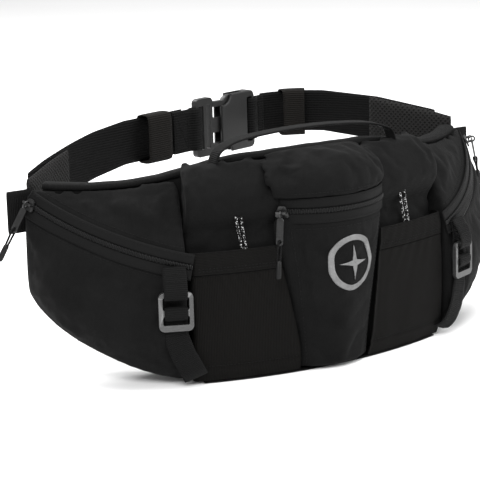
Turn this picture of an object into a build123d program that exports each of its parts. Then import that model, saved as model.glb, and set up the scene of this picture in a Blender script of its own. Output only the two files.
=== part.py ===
from build123d import *
import os
from math import cos, radians, sin

# Waist pack in millimetres. The origin is the centre of the flat base, +Z is up, the wearer
# stands at +Y and the pack's front faces -Y. The bag is wrapped round a vertical waist axis,
# so most places are given as a depth in front of the back face, an angle and a height.

# --- driving dimensions -------------------------------------------------------------------
WAIST_Y = 320.0            # waist axis behind the origin
BACK_RADIUS = 310.0        # waist axis to the back face of the pockets
SEAM_ANGLE = 20.8          # seam between the main compartment and a wing pocket
EAR_ANGLE = 42.9           # outer end of a wing pocket
FIT = 0.4                  # clearance between neighbouring sewn pieces
BASE_THICKNESS = 1.5

# wing pocket stations: angle, bottom height, top height, depth
WING_STATIONS = [
    (21.0, 2.5, 162.0, 41.0),
    (26.0, 9.0, 157.0, 40.0),
    (31.0, 21.0, 154.0, 36.0),
    (36.0, 37.0, 153.0, 31.0),
    (40.0, 53.0, 155.0, 22.0),
    (42.9, 70.0, 157.0, 10.0),
]
# fullness of a wing pocket: fraction of the height, fraction of the depth
WING_FULLNESS = [(0.0, 0.62), (0.1, 0.93), (0.4, 1.0), (0.68, 0.86), (0.88, 0.45), (1.0, 0.04)]

# centre pocket stations: height, half width, side depth and front depth ahead of the origin
COLUMN_STATIONS = [
    (2.0, 32.0, 20.0, 31.0),
    (40.0, 36.0, 21.0, 37.0),
    (85.0, 42.0, 22.0, 41.0),
    (122.0, 48.0, 20.5, 43.0),
]
COLUMN_BACK = -15.5
COLUMN_NECK_TOP = 142.0
NECK_HALF_WIDTH = 46.0

# centre lid stations: height, half width, side front, front, rear
LID_STATIONS = [
    (143.5, 50.0, 20.0, 44.0, -6.0),
    (152.0, 52.0, 19.0, 43.5, 1.0),
    (162.0, 51.0, 14.0, 37.0, 5.0),
    (170.0, 46.0, 4.0, 24.0, 6.5),
    (176.0, 34.0, -1.0, 8.0, 6.5),
]

POCKET_ANGLE = 20.4        # outer end of a mesh pocket
POCKET_END_WALL = 0.35     # thickness of its outer end, as an angle
HEM_BOTTOM = 88.5
HEM_TOP = 106.0
CORD_ANGLE = 13.2          # reflective cord, down the middle of a mesh pocket
CORD_DEPTH = 31.2
CORD_TOP = 128.8
CORD_RADIUS = 1.1
CORD_GAP = 2.8             # between the middles of its two strands

# printed emblem: a plain ring round a four-pointed star
EMBLEM_CENTRE = (5.5, 88.0)
EMBLEM_RADIUS = 22.5
EMBLEM_BAND = 4.5
STAR_POINT = 14.0
STAR_WAIST = 3.0

FOAM_THICKNESS = 9.0
MESH_THICKNESS = 3.0
BACK_ANGLE = 40.5
SLAB_DEPTH = 400.0         # longer than the pack is deep, to cut shapes in the front view

# wing zips lie on a circle about a leaning axis; the centre zip about a vertical one
WING_ZIP_CENTRE = (28.0, 150.4, 167.2)
WING_ZIP_AXIS = (-0.03, -0.42, 0.905)
WING_ZIP_START = (0.47, -0.80, -0.36)
WING_ZIP_SWEEP = 42.0
WING_ZIP_RADIUS = 197.5
WING_ZIP_TILT = 32.0
CENTRE_ZIP_CENTRE = (0.0, 22.0, 133.0)
CENTRE_ZIP_RADIUS = 64.6
CENTRE_ZIP_SWEEP = 98.0
TAPE_WIDTH = 8.2
TAPE_THICKNESS = 0.9
COIL_WIDTH = 3.2
COIL_THICKNESS = 2.0
WING_PARKED = 40.5         # slider's angle from the start of its zip
CENTRE_PARKED = 2.5
BRIDGE_HEIGHT = 5.7        # slider's bridge bar above its seat
RING_RADIUS = 2.8          # ring of the pull tab, round the bridge bar
PULL_LEAN = 0.24           # the tab hangs this far outward for each unit down
TAB_LENGTH = 22.0
TAB_WIDTH = 5.6
TAB_MIDDLE = 14.5          # below the bridge bar
CORD_HOLE = 22.4
PULL_CORD_LENGTH = 24.0
PULL_CORD_MIDDLE = 38.0
GRIP_LENGTH = 12.0
GRIP_MIDDLE = 46.0

# belt: plan of its middle surface, left ear to right ear, with a straight run at the buckle
EAR_LEFT = (-213.0, 92.0)
EAR_RIGHT = (213.0, 92.0)
BUCKLE_CENTRE = (36.0, 205.0)
BUCKLE_TURN = 16.0
LEFT_CORNER_RUN = 188.7    # buckle centre back to the left belt corner
RIGHT_CORNER_RUN = 84.9
LEFT_BEND = 200.0
RIGHT_BEND = 58.0
BELT_TOP = 181.0
WEBBING_WIDTH = 38.0
WEBBING_THICKNESS = 1.6
WEBBING_LEVEL = BELT_TOP - WEBBING_WIDTH / 2
WEBBING_OFFSET = 6.2       # webbing layer behind the belt's middle surface
WEBBING_GAP = {"left": 47.0, "right": 54.0}    # buckle centre to the end of a webbing
PAD_THICKNESS = 6.6
PAD_SPAN = (7.0, 84.0)     # from the ear
KEEPER_MIDDLE = 1.4        # behind the belt's middle surface
KEEPER_ROOM = 14.0         # front to back inside a keeper
KEEPER_SPARE = 2.6         # a keeper's inside is this much taller than the webbing
KEEPER_WALL = 1.0

# side-release buckle
BUCKLE_HEIGHT = 52.0

# compression hooks
HOOK_ANGLE = 22.7
HOOK_DEPTH = 48.0          # hook's middle plane in front of the back face
HOOK_TOP_BAR = 78.0
HOOK_HEIGHT = 31.0
HOOK_WIDTH = 27.0
HOOK_WINDOW = HOOK_WIDTH - 6.4
STRAP_WIDTH = 20.0
STRAP_THICKNESS = 1.4

HANDLE_Y = 21.0
HANDLE_REACH = 80.0
HANDLE_THICKNESS = 2.0
HANDLE_WIDTH = 14.0
EAR_TAB_HEIGHT = 34.0

SIDES = ((-1, "left"), (1, "right"))
WAIST_AXIS = Axis((0, WAIST_Y, 0), (0, 0, 1))
os.makedirs("parts", exist_ok=True)


# --- shared geometry ----------------------------------------------------------------------
def save(builder, label):
    """Label a finished piece and write it."""
    builder.part.label = label
    export_step(builder.part, f"parts/{label}.step")


def waist_point(angle, depth, height):
    """Point at an angle from the centre line, a depth in front of the back face."""
    reach = BACK_RADIUS + depth
    return Vector(reach * sin(radians(angle)), WAIST_Y - reach * cos(radians(angle)), height)


def waist_plane(angle):
    """Upright plane through the waist axis: local x is depth from the back face, y is up."""
    outward = Vector(sin(radians(angle)), -cos(radians(angle)), 0)
    along = Vector(-cos(radians(angle)), -sin(radians(angle)), 0)
    return Plane(origin=waist_point(angle, 0, 0), x_dir=outward, z_dir=along)


def wrap(outline, first, last):
    """Turn a closed outline of (depth, height) points about the waist axis."""
    with BuildPart() as piece:
        with BuildSketch(waist_plane(first)):
            with BuildLine():
                Polyline(*outline, close=True)
            make_face()
        revolve(axis=WAIST_AXIS, revolution_arc=last - first)
    return piece.part


def front_view_slab(low, high, low_edge=Polyline):
    """Everything between a lower and an upper edge in the front view."""
    with BuildPart() as slab:
        with BuildSketch(Plane.XZ):
            with BuildLine():
                low_edge(*low)
                Line(low[-1], high[-1])
                Spline(*reversed(high))
                Line(high[0], low[0])
            make_face()
        extrude(amount=-SLAB_DEPTH)
    return slab.part


# --- centre column, shared by the pocket, its emblem and the pieces beside it --------------
def column_solid(clearance):
    """Bulging centre column, grown by a clearance."""
    with BuildPart() as column:
        for height, half, side, front in COLUMN_STATIONS:
            with BuildSketch(Plane.XY.offset(height)):
                wide = half + clearance
                with BuildLine():
                    ThreePointArc((-wide, -side), (0, -front - clearance), (wide, -side))
                    Polyline((wide, -side), (wide, COLUMN_BACK), (-wide, COLUMN_BACK),
                             (-wide, -side))
                make_face()
        loft()
    return column.part


def main_outline(grow):
    """Depth and height outline of the main compartment, grown at the front and top."""
    return [
        (0.5, 2.0), (21.0, 2.0), (23.5 + grow, 12.0), (24.0 + grow, 60.0), (24.0 + grow, 121.5),
        (31.0 + grow, 131.0), (34.5 + grow, 139.0), (33.0 + grow, 149.0), (26.0 + grow, 159.0 + grow),
        (14.0 + grow, 168.0 + grow), (0.5, 171.5 + grow),
    ]


# --- fabric compartments -------------------------------------------------------------------

with BuildPart() as base_panel:
    add(wrap([(0.5, 0), (33.5, 0), (34.5, BASE_THICKNESS), (0.5, BASE_THICKNESS)], -19.0, 19.0))
save(base_panel, "base_panel")


def track(side):
    """Start plane and axis of a zip: local x runs away from the axis, y along it."""
    if side == 0:
        first = radians(-CENTRE_ZIP_SWEEP / 2)
        out = Vector(sin(first), -cos(first), 0)
        up = Vector(0, 0, 1)
        centre = Vector(*CENTRE_ZIP_CENTRE)
    else:
        out = Vector(side * WING_ZIP_START[0], WING_ZIP_START[1], WING_ZIP_START[2])
        up = Vector(side * WING_ZIP_AXIS[0], WING_ZIP_AXIS[1], WING_ZIP_AXIS[2]).normalized()
        out = (out - up * out.dot(up)).normalized()
        centre = Vector(side * WING_ZIP_CENTRE[0], WING_ZIP_CENTRE[1], WING_ZIP_CENTRE[2])
    return Plane(origin=centre, x_dir=out, z_dir=out.cross(up)), Axis(centre, up)


def track_shape(side):
    """Radius, lean of the tape and signed sweep of a zip."""
    if side == 0:
        return CENTRE_ZIP_RADIUS, 0.0, CENTRE_ZIP_SWEEP
    return WING_ZIP_RADIUS, WING_ZIP_TILT, side * WING_ZIP_SWEEP


def track_band(side, across, rise, width, thickness):
    """Strip following a zip: across is along the tape's width, rise is off the fabric."""
    plane, axis = track(side)
    radius, tilt, sweep_angle = track_shape(side)
    turn = radians(tilt)
    centre = (radius + rise * cos(turn) - across * sin(turn),
              rise * sin(turn) + across * cos(turn))
    with BuildPart() as band:
        with BuildSketch(plane):
            with Locations(centre):
                Rectangle(thickness, width, rotation=tilt)
        revolve(axis=axis, revolution_arc=sweep_angle)
    return band.part


with BuildPart() as main_compartment:
    add(wrap(main_outline(0), -SEAM_ANGLE + 0.1, SEAM_ANGLE - 0.1))
    add(track_band(0, 0, 1.5, 2 * TAPE_WIDTH + COIL_WIDTH + 3, 6.0), mode=Mode.SUBTRACT)
save(main_compartment, "main_compartment")

for side, name in SIDES:
    with BuildPart() as wing_pocket:
        for angle, low, high, depth in WING_STATIONS:
            with BuildSketch(waist_plane(side * angle)):
                tall = high - low
                bulge = [(0.5 + depth * full, low + tall * up) for up, full in WING_FULLNESS]
                with BuildLine():
                    Spline(*bulge)
                    Polyline(bulge[-1], (0.5, high), (0.5, low), bulge[0])
                make_face()
        loft()
        add(track_band(side, 0, 2.6, 2 * TAPE_WIDTH + COIL_WIDTH + 3, 7.0), mode=Mode.SUBTRACT)
    save(wing_pocket, f"wing_pocket_{name}")

with BuildPart() as centre_pocket:
    add(column_solid(0))
    with BuildSketch(Plane.XY.offset(COLUMN_STATIONS[-1][0])):
        with Locations((CENTRE_ZIP_CENTRE[0], CENTRE_ZIP_CENTRE[1])):
            Circle(CENTRE_ZIP_RADIUS - 1.4)
        with Locations((0, 60 + COLUMN_BACK)):
            Rectangle(200, 120, mode=Mode.SUBTRACT)
        with Locations((0, -60)):
            Rectangle(2 * NECK_HALF_WIDTH, 120, mode=Mode.INTERSECT)
    extrude(amount=COLUMN_NECK_TOP - COLUMN_STATIONS[-1][0])
    add(wrap(main_outline(0.6), -SEAM_ANGLE, SEAM_ANGLE), mode=Mode.SUBTRACT)
save(centre_pocket, "centre_pocket")

with BuildPart() as centre_lid:
    for height, half, side_front, front, rear in LID_STATIONS:
        with BuildSketch(Plane.XY.offset(height)):
            with BuildLine():
                ThreePointArc((-half, -side_front), (0, -front), (half, -side_front))
                Polyline((half, -side_front), (half, rear), (-half, rear), (-half, -side_front))
            make_face()
    loft()
    add(wrap(main_outline(1.0), -SEAM_ANGLE, SEAM_ANGLE), mode=Mode.SUBTRACT)
save(centre_lid, "centre_lid")

with BuildPart() as emblem:
    add(column_solid(0.9))
    add(column_solid(0.3), mode=Mode.SUBTRACT)
    with BuildSketch(Plane.XZ):
        with Locations(EMBLEM_CENTRE):
            Circle(EMBLEM_RADIUS)
            Circle(EMBLEM_RADIUS - EMBLEM_BAND, mode=Mode.SUBTRACT)
            with PolarLocations(0, 4):
                Polygon((0, 0), (STAR_WAIST, STAR_WAIST), (STAR_POINT, 0), (STAR_WAIST, -STAR_WAIST),
                        align=None)
    extrude(amount=100, mode=Mode.INTERSECT)
save(emblem, "emblem")

# --- stretch pockets -----------------------------------------------------------------------
for side, name in SIDES:
    inner_end, outer_end = sorted((side * 4.0, side * POCKET_ANGLE))
    with BuildPart() as mesh_pocket:
        shell = [(22.5, 1.9), (33.0, 1.9), (36.5, 12.0), (38.0, 40.0), (38.0, 65.0),
                 (36.8, HEM_BOTTOM - FIT), (26.0, HEM_BOTTOM - FIT)]
        add(wrap(shell, inner_end, outer_end))
        room = [(20.0, 4.0), (32.0, 4.0), (34.9, 13.0), (36.4, 40.0), (36.4, 65.0), (35.2, HEM_TOP),
                (20.0, HEM_TOP)]
        end_wall = side * (POCKET_ANGLE - POCKET_END_WALL)
        add(wrap(room, *sorted((side * 2.0, end_wall))), mode=Mode.SUBTRACT)
        add(wrap(main_outline(FIT), -SEAM_ANGLE, SEAM_ANGLE), mode=Mode.SUBTRACT)
        add(column_solid(0.8), mode=Mode.SUBTRACT)
    save(mesh_pocket, f"mesh_pocket_{name}")

    with BuildPart() as pocket_hem:
        band = [(34.9, HEM_BOTTOM), (37.2, HEM_BOTTOM), (35.6, HEM_TOP), (33.3, HEM_TOP)]
        add(wrap(band, inner_end, outer_end))
        add(column_solid(0.8), mode=Mode.SUBTRACT)
    save(pocket_hem, f"pocket_hem_{name}")

    # doubled elastic cord from under the upper panel down to the hem
    with BuildPart() as reflective_cord:
        top = waist_point(side * CORD_ANGLE, CORD_DEPTH, CORD_TOP)
        foot = waist_point(side * CORD_ANGLE, CORD_DEPTH, HEM_TOP - 8.0)
        for shift in (-CORD_GAP / 2, CORD_GAP / 2):
            start = top + Vector(shift, 0, 0)
            with BuildLine():
                Line(start, foot + Vector(shift, 0, 0))
            with BuildSketch(Plane(origin=start, z_dir=foot - top)):
                Circle(CORD_RADIUS)
            sweep()
    save(reflective_cord, f"reflective_cord_{name}")

# --- back ----------------------------------------------------------------------------------
BACK_LOW = [(-213, 72), (-200, 55), (-182, 37), (-160, 20.5), (-135, 8), (-112, 2.2),
            (112, 2.2), (135, 8), (160, 20.5), (182, 37), (200, 55), (213, 72)]
BACK_HIGH = [(-213, 156), (-176, 153), (-136, 155), (-104, 162), (-70, 169.5), (0, 171.5),
             (70, 169.5), (104, 162), (136, 155), (176, 153), (213, 156)]
FOAM_FRONT = -0.5
MESH_FRONT = FOAM_FRONT - FOAM_THICKNESS - FIT


def back_layer(front, thickness):
    """Curved layer behind the pockets, taller than the back's outline."""
    rear = front - thickness
    return wrap([(rear, 0), (front, 0), (front, 200), (rear, 200)], -BACK_ANGLE, BACK_ANGLE)


with BuildPart() as back_foam:
    add(back_layer(FOAM_FRONT, FOAM_THICKNESS))
    add(front_view_slab(BACK_LOW, BACK_HIGH), mode=Mode.INTERSECT)
save(back_foam, "back_foam")

with BuildPart() as back_panel:
    add(back_layer(MESH_FRONT, MESH_THICKNESS))
    add(front_view_slab(BACK_LOW, BACK_HIGH), mode=Mode.INTERSECT)
save(back_panel, "back_panel")

with BuildPart() as top_binding:
    add(back_layer(0.1, FOAM_THICKNESS + MESH_THICKNESS + 1.0))
    low, high = ([(x, z + rise) for x, z in BACK_HIGH] for rise in (0.8, 3.4))
    add(front_view_slab(low, high, Spline), mode=Mode.INTERSECT)
save(top_binding, "top_binding")

# --- zips ----------------------------------------------------------------------------------
for side, name in SIDES + ((0, "centre"),):
    tape_middle = COIL_WIDTH / 2 + FIT + TAPE_WIDTH / 2
    with BuildPart() as zip_tape:
        add(track_band(side, tape_middle, 0, TAPE_WIDTH, TAPE_THICKNESS))
        add(track_band(side, -tape_middle, 0, TAPE_WIDTH, TAPE_THICKNESS))
    save(zip_tape, f"zip_tape_{name}")

    with BuildPart() as zip_coil:
        add(track_band(side, 0, 0.2, COIL_WIDTH, COIL_THICKNESS))
    save(zip_coil, f"zip_coil_{name}")

    # the slider sits on the coil: local x along the zip, y across it, z off the fabric
    plane, axis = track(side)
    radius, tilt, sweep_angle = track_shape(side)
    parked = CENTRE_PARKED if side == 0 else side * WING_PARKED
    out = plane.x_dir.rotate(Axis((0, 0, 0), axis.direction), parked)
    up = axis.direction
    off = (out * cos(radians(tilt)) + up * sin(radians(tilt))).normalized()
    along = up.cross(out).normalized()
    seat = Plane(origin=plane.origin + out * radius + off * 1.7, x_dir=along, z_dir=off)
    with BuildPart() as zip_slider:
        with BuildSketch(seat):
            Trapezoid(12.0, 9.0, 70)
        extrude(amount=1.6)
        fillet(zip_slider.edges().filter_by(Axis(seat.origin, seat.z_dir)), 1.5)
        with BuildSketch(Plane(origin=seat.origin, x_dir=along, z_dir=seat.y_dir)):
            with BuildLine():
                Polyline((-4.0, -1.4), (-4.0, -BRIDGE_HEIGHT - 0.5), (4.0, -BRIDGE_HEIGHT - 0.5),
                         (4.0, -1.4), (2.8, -1.4), (2.8, -BRIDGE_HEIGHT + 0.5),
                         (-2.8, -BRIDGE_HEIGHT + 0.5), (-2.8, -1.4), close=True)
            make_face()
        extrude(amount=0.9, both=True)
    save(zip_slider, f"zip_slider_{name}")

    # pull tab: a ring round the bridge bar, then a flat tab facing outward
    pivot = seat.origin + off * BRIDGE_HEIGHT
    away = Vector(off.X, off.Y, 0).normalized()
    drop = Vector(0, 0, -1) + away * PULL_LEAN
    drop = (drop - along * drop.dot(along)).normalized()
    face = along.cross(drop).normalized()
    hang = Plane(origin=pivot, x_dir=along, z_dir=face)
    reach = 1 if hang.y_dir.dot(drop) > 0 else -1
    with BuildPart() as zip_puller:
        with BuildSketch(Plane(origin=pivot + drop * 1.0, x_dir=drop, z_dir=along)):
            Circle(RING_RADIUS + 0.6)
            Circle(RING_RADIUS - 0.6, mode=Mode.SUBTRACT)
        extrude(amount=0.6, both=True)
        with BuildSketch(hang):
            with Locations((0, reach * TAB_MIDDLE)):
                SlotOverall(TAB_LENGTH, TAB_WIDTH, rotation=90)
            with Locations((0, reach * CORD_HOLE)):
                Circle(1.6, mode=Mode.SUBTRACT)
        extrude(amount=0.6, both=True)
    save(zip_puller, f"zip_puller_{name}")

    with BuildPart() as pull_cord:
        with BuildSketch(hang):
            with Locations((0, reach * PULL_CORD_MIDDLE)):
                SlotOverall(PULL_CORD_LENGTH, 3.4, rotation=90)
            with Locations((0, reach * GRIP_MIDDLE)):
                SlotOverall(GRIP_LENGTH, 4.6, rotation=90)
        extrude(amount=1.5, both=True)
    save(pull_cord, f"pull_cord_{name}")

# --- compression hooks ---------------------------------------------------------------------
for side, name in SIDES:
    outward = waist_plane(side * HOOK_ANGLE).x_dir
    sideways = Vector(0, 0, 1).cross(outward)
    hook_foot = waist_point(side * HOOK_ANGLE, HOOK_DEPTH, 0)
    hook_plane = Plane(origin=hook_foot, x_dir=sideways, z_dir=outward)
    bottom_bar = HOOK_TOP_BAR - HOOK_HEIGHT + 4.0
    middle_bar = bottom_bar + 12.5
    with BuildPart() as g_hook:
        with BuildSketch(hook_plane):
            with Locations((0, HOOK_TOP_BAR + 2 - HOOK_HEIGHT / 2)):
                RectangleRounded(HOOK_WIDTH, HOOK_HEIGHT, 4.5)
            with Locations((0, HOOK_TOP_BAR - 7.0)):
                RectangleRounded(HOOK_WINDOW, 10.0, 1.5, mode=Mode.SUBTRACT)
            with Locations((0, bottom_bar + 6.6)):
                RectangleRounded(HOOK_WINDOW, 7.0, 1.5, mode=Mode.SUBTRACT)
            with Locations((side * -7.5, HOOK_TOP_BAR)):
                Rectangle(3.0, 6.0, mode=Mode.SUBTRACT)
        extrude(amount=1.75, both=True)
    save(g_hook, f"g_hook_{name}")

    edge_on = Plane(origin=hook_plane.origin, x_dir=outward, z_dir=outward.cross(Vector(0, 0, 1)))
    with BuildPart() as hook_loop:
        with BuildSketch(edge_on):
            with BuildLine():
                loop = Polyline((-3.7, 93.0), (-3.7, HOOK_TOP_BAR - 2.0), (-2.2, HOOK_TOP_BAR - 3.7),
                                (2.2, HOOK_TOP_BAR - 3.7), (3.7, HOOK_TOP_BAR - 2.0), (3.7, 84.0),
                                (-1.8, 93.0))
                offset(loop, amount=0.55, side=Side.BOTH)
            make_face()
        extrude(amount=9.0, both=True)
    save(hook_loop, f"hook_loop_{name}")

    # the strap's end comes up behind the hook, over its middle bar and back through the window
    with BuildPart() as hook_wrap:
        with BuildSketch(edge_on):
            with BuildLine():
                loop = Polyline((-3.0, bottom_bar - 6.0), (-3.0, middle_bar + 3.9),
                                (3.0, middle_bar + 3.9), (3.0, middle_bar - 4.2),
                                (-1.4, bottom_bar + 5.6))
                offset(loop, amount=0.5, side=Side.BOTH)
            make_face()
        extrude(amount=9.0, both=True)
    save(hook_wrap, f"hook_wrap_{name}")

    # strap from below the hook, leaning in to its anchor at the edge of the base
    foot = waist_point(side * 19.6, 43.0, 0)
    head = waist_point(side * HOOK_ANGLE, 43.0, bottom_bar - 12.0)
    strap_out = waist_plane(side * 21.0).x_dir
    strap_side = strap_out.cross((head - foot).normalized()).normalized()
    run = (head - foot).length
    with BuildPart() as compression_strap:
        with BuildSketch(Plane(origin=foot, x_dir=strap_out, z_dir=strap_side)):
            with BuildLine():
                lay = Polyline((-1.6, 5.5), (0.0, 11.0), (2.4, 22.0), (2.6, run))
                offset(lay, amount=STRAP_THICKNESS / 2, side=Side.BOTH)
            make_face()
        extrude(amount=STRAP_WIDTH / 2, both=True)
    save(compression_strap, f"compression_strap_{name}")

# --- belt ----------------------------------------------------------------------------------
turn = radians(BUCKLE_TURN)
belt_along = Vector(cos(turn), sin(turn), 0)
buckle_origin = Vector(BUCKLE_CENTRE[0], BUCKLE_CENTRE[1], WEBBING_LEVEL)
LEFT_CORNER = (BUCKLE_CENTRE[0] - LEFT_CORNER_RUN * cos(turn),
               BUCKLE_CENTRE[1] - LEFT_CORNER_RUN * sin(turn))
RIGHT_CORNER = (BUCKLE_CENTRE[0] + RIGHT_CORNER_RUN * cos(turn),
                BUCKLE_CENTRE[1] + RIGHT_CORNER_RUN * sin(turn))
BELT_EDGES = {
    "left": ([(-226, 100), (-199, 117), (-154, 127), (-110, 137), (-76, 142.5), (60, 143)],
             [(-226, 158), (-199, 161), (-154, 168), (-110, 176.5), (-76, 180.5), (-45, 181),
              (0, 181), (60, 181)]),
    "right": ([(20, 143), (138, 143), (168, 137), (197, 121), (226, 100)],
              [(20, 181), (70, 181), (115, 181), (138, 180.8), (168, 177), (197, 168), (226, 156)]),
}


def belt_route(name):
    """Plan of one belt half, running from left to right."""
    mid = (BUCKLE_CENTRE[0], BUCKLE_CENTRE[1])
    if name == "left":
        return FilletPolyline(EAR_LEFT, LEFT_CORNER, mid, radius=LEFT_BEND)
    return FilletPolyline(mid, RIGHT_CORNER, EAR_RIGHT, radius=RIGHT_BEND)


with BuildLine() as left_route:
    belt_route("left")
with BuildLine() as right_route:
    belt_route("right")
HALF_WIRE = {"left": left_route.wires()[0], "right": right_route.wires()[0]}
HALF_LENGTH = {name: wire.length for name, wire in HALF_WIRE.items()}


def belt_block(name, start, stop, offset_out, thickness, middle, height):
    """Upright block along the belt between two distances from the left end of its half."""
    length = HALF_LENGTH[name]
    stretch = HALF_WIRE[name].trim(start / length, stop / length)
    heading = stretch % 0
    across = Vector(0, 0, 1).cross(heading)
    with BuildPart() as block:
        with BuildSketch(Plane(origin=stretch @ 0, x_dir=across, z_dir=heading)):
            with Locations((offset_out, middle)):
                Rectangle(thickness, height)
        sweep(path=stretch)
    return block.part


def from_ear(name, near, far):
    """Distances from the left end for a stretch measured from the ear."""
    if name == "left":
        return near, far
    return HALF_LENGTH[name] - far, HALF_LENGTH[name] - near


for side, name in SIDES:
    edges = front_view_slab(*BELT_EDGES[name])
    with BuildPart() as belt_pad:
        add(belt_block(name, *from_ear(name, *PAD_SPAN), 0.0, PAD_THICKNESS, 140, 120))
        add(edges, mode=Mode.INTERSECT)
        fillet(belt_pad.edges().filter_by(Axis.Z), 2.5)
    save(belt_pad, f"belt_pad_{name}")

    stretch_end = HALF_LENGTH[name] - WEBBING_GAP[name]
    with BuildPart() as belt_webbing:
        add(belt_block(name, *from_ear(name, 24.0, stretch_end), WEBBING_OFFSET, WEBBING_THICKNESS,
                       140, 120))
        add(edges, mode=Mode.INTERSECT)
    save(belt_webbing, f"belt_webbing_{name}")

# buckle: local x along the belt to the right, y up, z towards the inside of the belt
buckle_plane = Plane(origin=buckle_origin, x_dir=belt_along, z_dir=belt_along.cross(Vector(0, 0, 1)))
plan_plane = Plane(origin=buckle_origin, x_dir=belt_along, z_dir=(0, 0, 1))


def webbing_fold(points):
    """Hairpin of doubled webbing: points are along the belt and outward."""
    with BuildPart() as fold:
        with BuildSketch(plan_plane):
            with BuildLine():
                middle = Polyline(*points)
                offset(middle, amount=WEBBING_THICKNESS / 2, side=Side.BOTH)
            make_face()
        extrude(amount=WEBBING_WIDTH / 2 - 0.3, both=True)
    return fold.part


def crossbar_slot(centre, width):
    """Tall slot through a buckle frame."""
    with Locations((centre, 0)):
        RectangleRounded(width, WEBBING_WIDTH + 1.6, 1.2, mode=Mode.SUBTRACT)


with BuildPart() as buckle_plug:
    with BuildSketch(buckle_plane):
        with Locations((-26.5, 0)):
            RectangleRounded(21.0, BUCKLE_HEIGHT, 4.0)
        crossbar_slot(-30.4, 5.6)
        crossbar_slot(-21.8, 5.0)
    extrude(amount=2.8, both=True)
    with BuildSketch(buckle_plane):
        with Locations((1.0, 0)):
            RectangleRounded(37.0, 13.0, 3.0)
    extrude(amount=2.2, both=True)
save(buckle_plug, "buckle_plug")

for sign, name in ((1, "upper"), (-1, "lower")):
    with BuildPart() as plug_arm:
        with BuildSketch(buckle_plane):
            with BuildLine():
                Polyline((-15.6, sign * 16.8), (8.0, sign * 15.2), (15.0, sign * 15.8),
                         (16.5, sign * 18.5))
                ThreePointArc((16.5, sign * 18.5), (8.0, sign * 25.2), (-1.5, sign * 21.0))
                Line((-1.5, sign * 21.0), (-15.6, sign * 21.6))
                Line((-15.6, sign * 21.6), (-15.6, sign * 16.8))
            make_face()
        extrude(amount=2.4, both=True)
    save(plug_arm, f"plug_arm_{name}")

with BuildPart() as buckle_socket:
    with BuildSketch(buckle_plane):
        with Locations((14.5, 0)):
            RectangleRounded(43.0, BUCKLE_HEIGHT, 5.0)
        with Locations((-4.0, BUCKLE_HEIGHT / 2 + 1), (-4.0, -BUCKLE_HEIGHT / 2 - 1)):
            Circle(10.0, mode=Mode.SUBTRACT)
        crossbar_slot(29.5, 5.6)
    extrude(amount=5.6, both=True)
    chamfer(buckle_socket.faces().filter_by(buckle_plane).edges(), 0.8)
    with BuildSketch(buckle_plane):
        with Locations((4.0, 0)):
            Rectangle(36.0, BUCKLE_HEIGHT + 4)
    extrude(amount=3.2, both=True, mode=Mode.SUBTRACT)
save(buckle_socket, "buckle_socket")

with BuildPart() as webbing_fold_left:
    add(webbing_fold([(-64.0, -1.0), (-43.0, -1.0), (-39.0, -4.0), (-30.4, -4.0), (-30.4, 4.0),
                      (-39.0, 4.0), (-43.0, 1.0), (-64.0, 1.0)]))
save(webbing_fold_left, "webbing_fold_left")

with BuildPart() as webbing_fold_right:
    add(webbing_fold([(52.0, -1.0), (43.0, -1.0), (38.0, -6.8), (29.5, -6.8), (29.5, 6.8),
                      (38.0, 6.8), (43.0, 1.0), (52.0, 1.0)]))
save(webbing_fold_right, "webbing_fold_right")


# elastic keepers: short bands round the webbing, free to slide along it
KEEPER_SPAN = {"left": (HALF_LENGTH["left"] - 99.0, HALF_LENGTH["left"] - 71.0), "right": (72.0, 94.0)}
KEEPER_INSIDE = WEBBING_WIDTH + KEEPER_SPARE
for side, name in SIDES:
    first, last = KEEPER_SPAN[name]
    with BuildPart() as belt_keeper:
        add(belt_block(name, first, last, KEEPER_MIDDLE, KEEPER_ROOM + 2 * KEEPER_WALL, WEBBING_LEVEL,
                       KEEPER_INSIDE + 2 * KEEPER_WALL))
        add(belt_block(name, first - 2, last + 2, KEEPER_MIDDLE, KEEPER_ROOM, WEBBING_LEVEL,
                       KEEPER_INSIDE), mode=Mode.SUBTRACT)
    save(belt_keeper, f"belt_keeper_{name}")

# --- haul handle and ear tabs --------------------------------------------------------------
with BuildPart() as haul_handle:
    with BuildSketch(Plane.XZ.offset(-HANDLE_Y)):
        with BuildLine():
            arch = [(-HANDLE_REACH, 178.5), (-62, 184.0), (0, 187.5), (62, 184.0),
                    (HANDLE_REACH, 178.5)]
            under = Spline(*arch)
            over = Spline(*[(x, z + HANDLE_THICKNESS) for x, z in arch])
            Line(under @ 0, over @ 0)
            Line(under @ 1, over @ 1)
        make_face()
    extrude(amount=HANDLE_WIDTH / 2, both=True)
save(haul_handle, "haul_handle")

for side, name in SIDES:
    with BuildPart() as side_tab:
        with BuildSketch(Plane.XY.offset(118)):
            with Locations((side * 220.5, 97.5)):
                RectangleRounded(11.0, 3.0, 1.2)
        extrude(amount=EAR_TAB_HEIGHT)
    save(side_tab, f"side_tab_{name}")
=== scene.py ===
from math import asin, atan2, cos, degrees, exp, hypot, pi, radians, sin

import bpy
import numpy as np
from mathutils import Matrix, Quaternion, Vector
from mathutils.bvhtree import BVHTree
from mathutils.kdtree import KDTree


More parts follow.
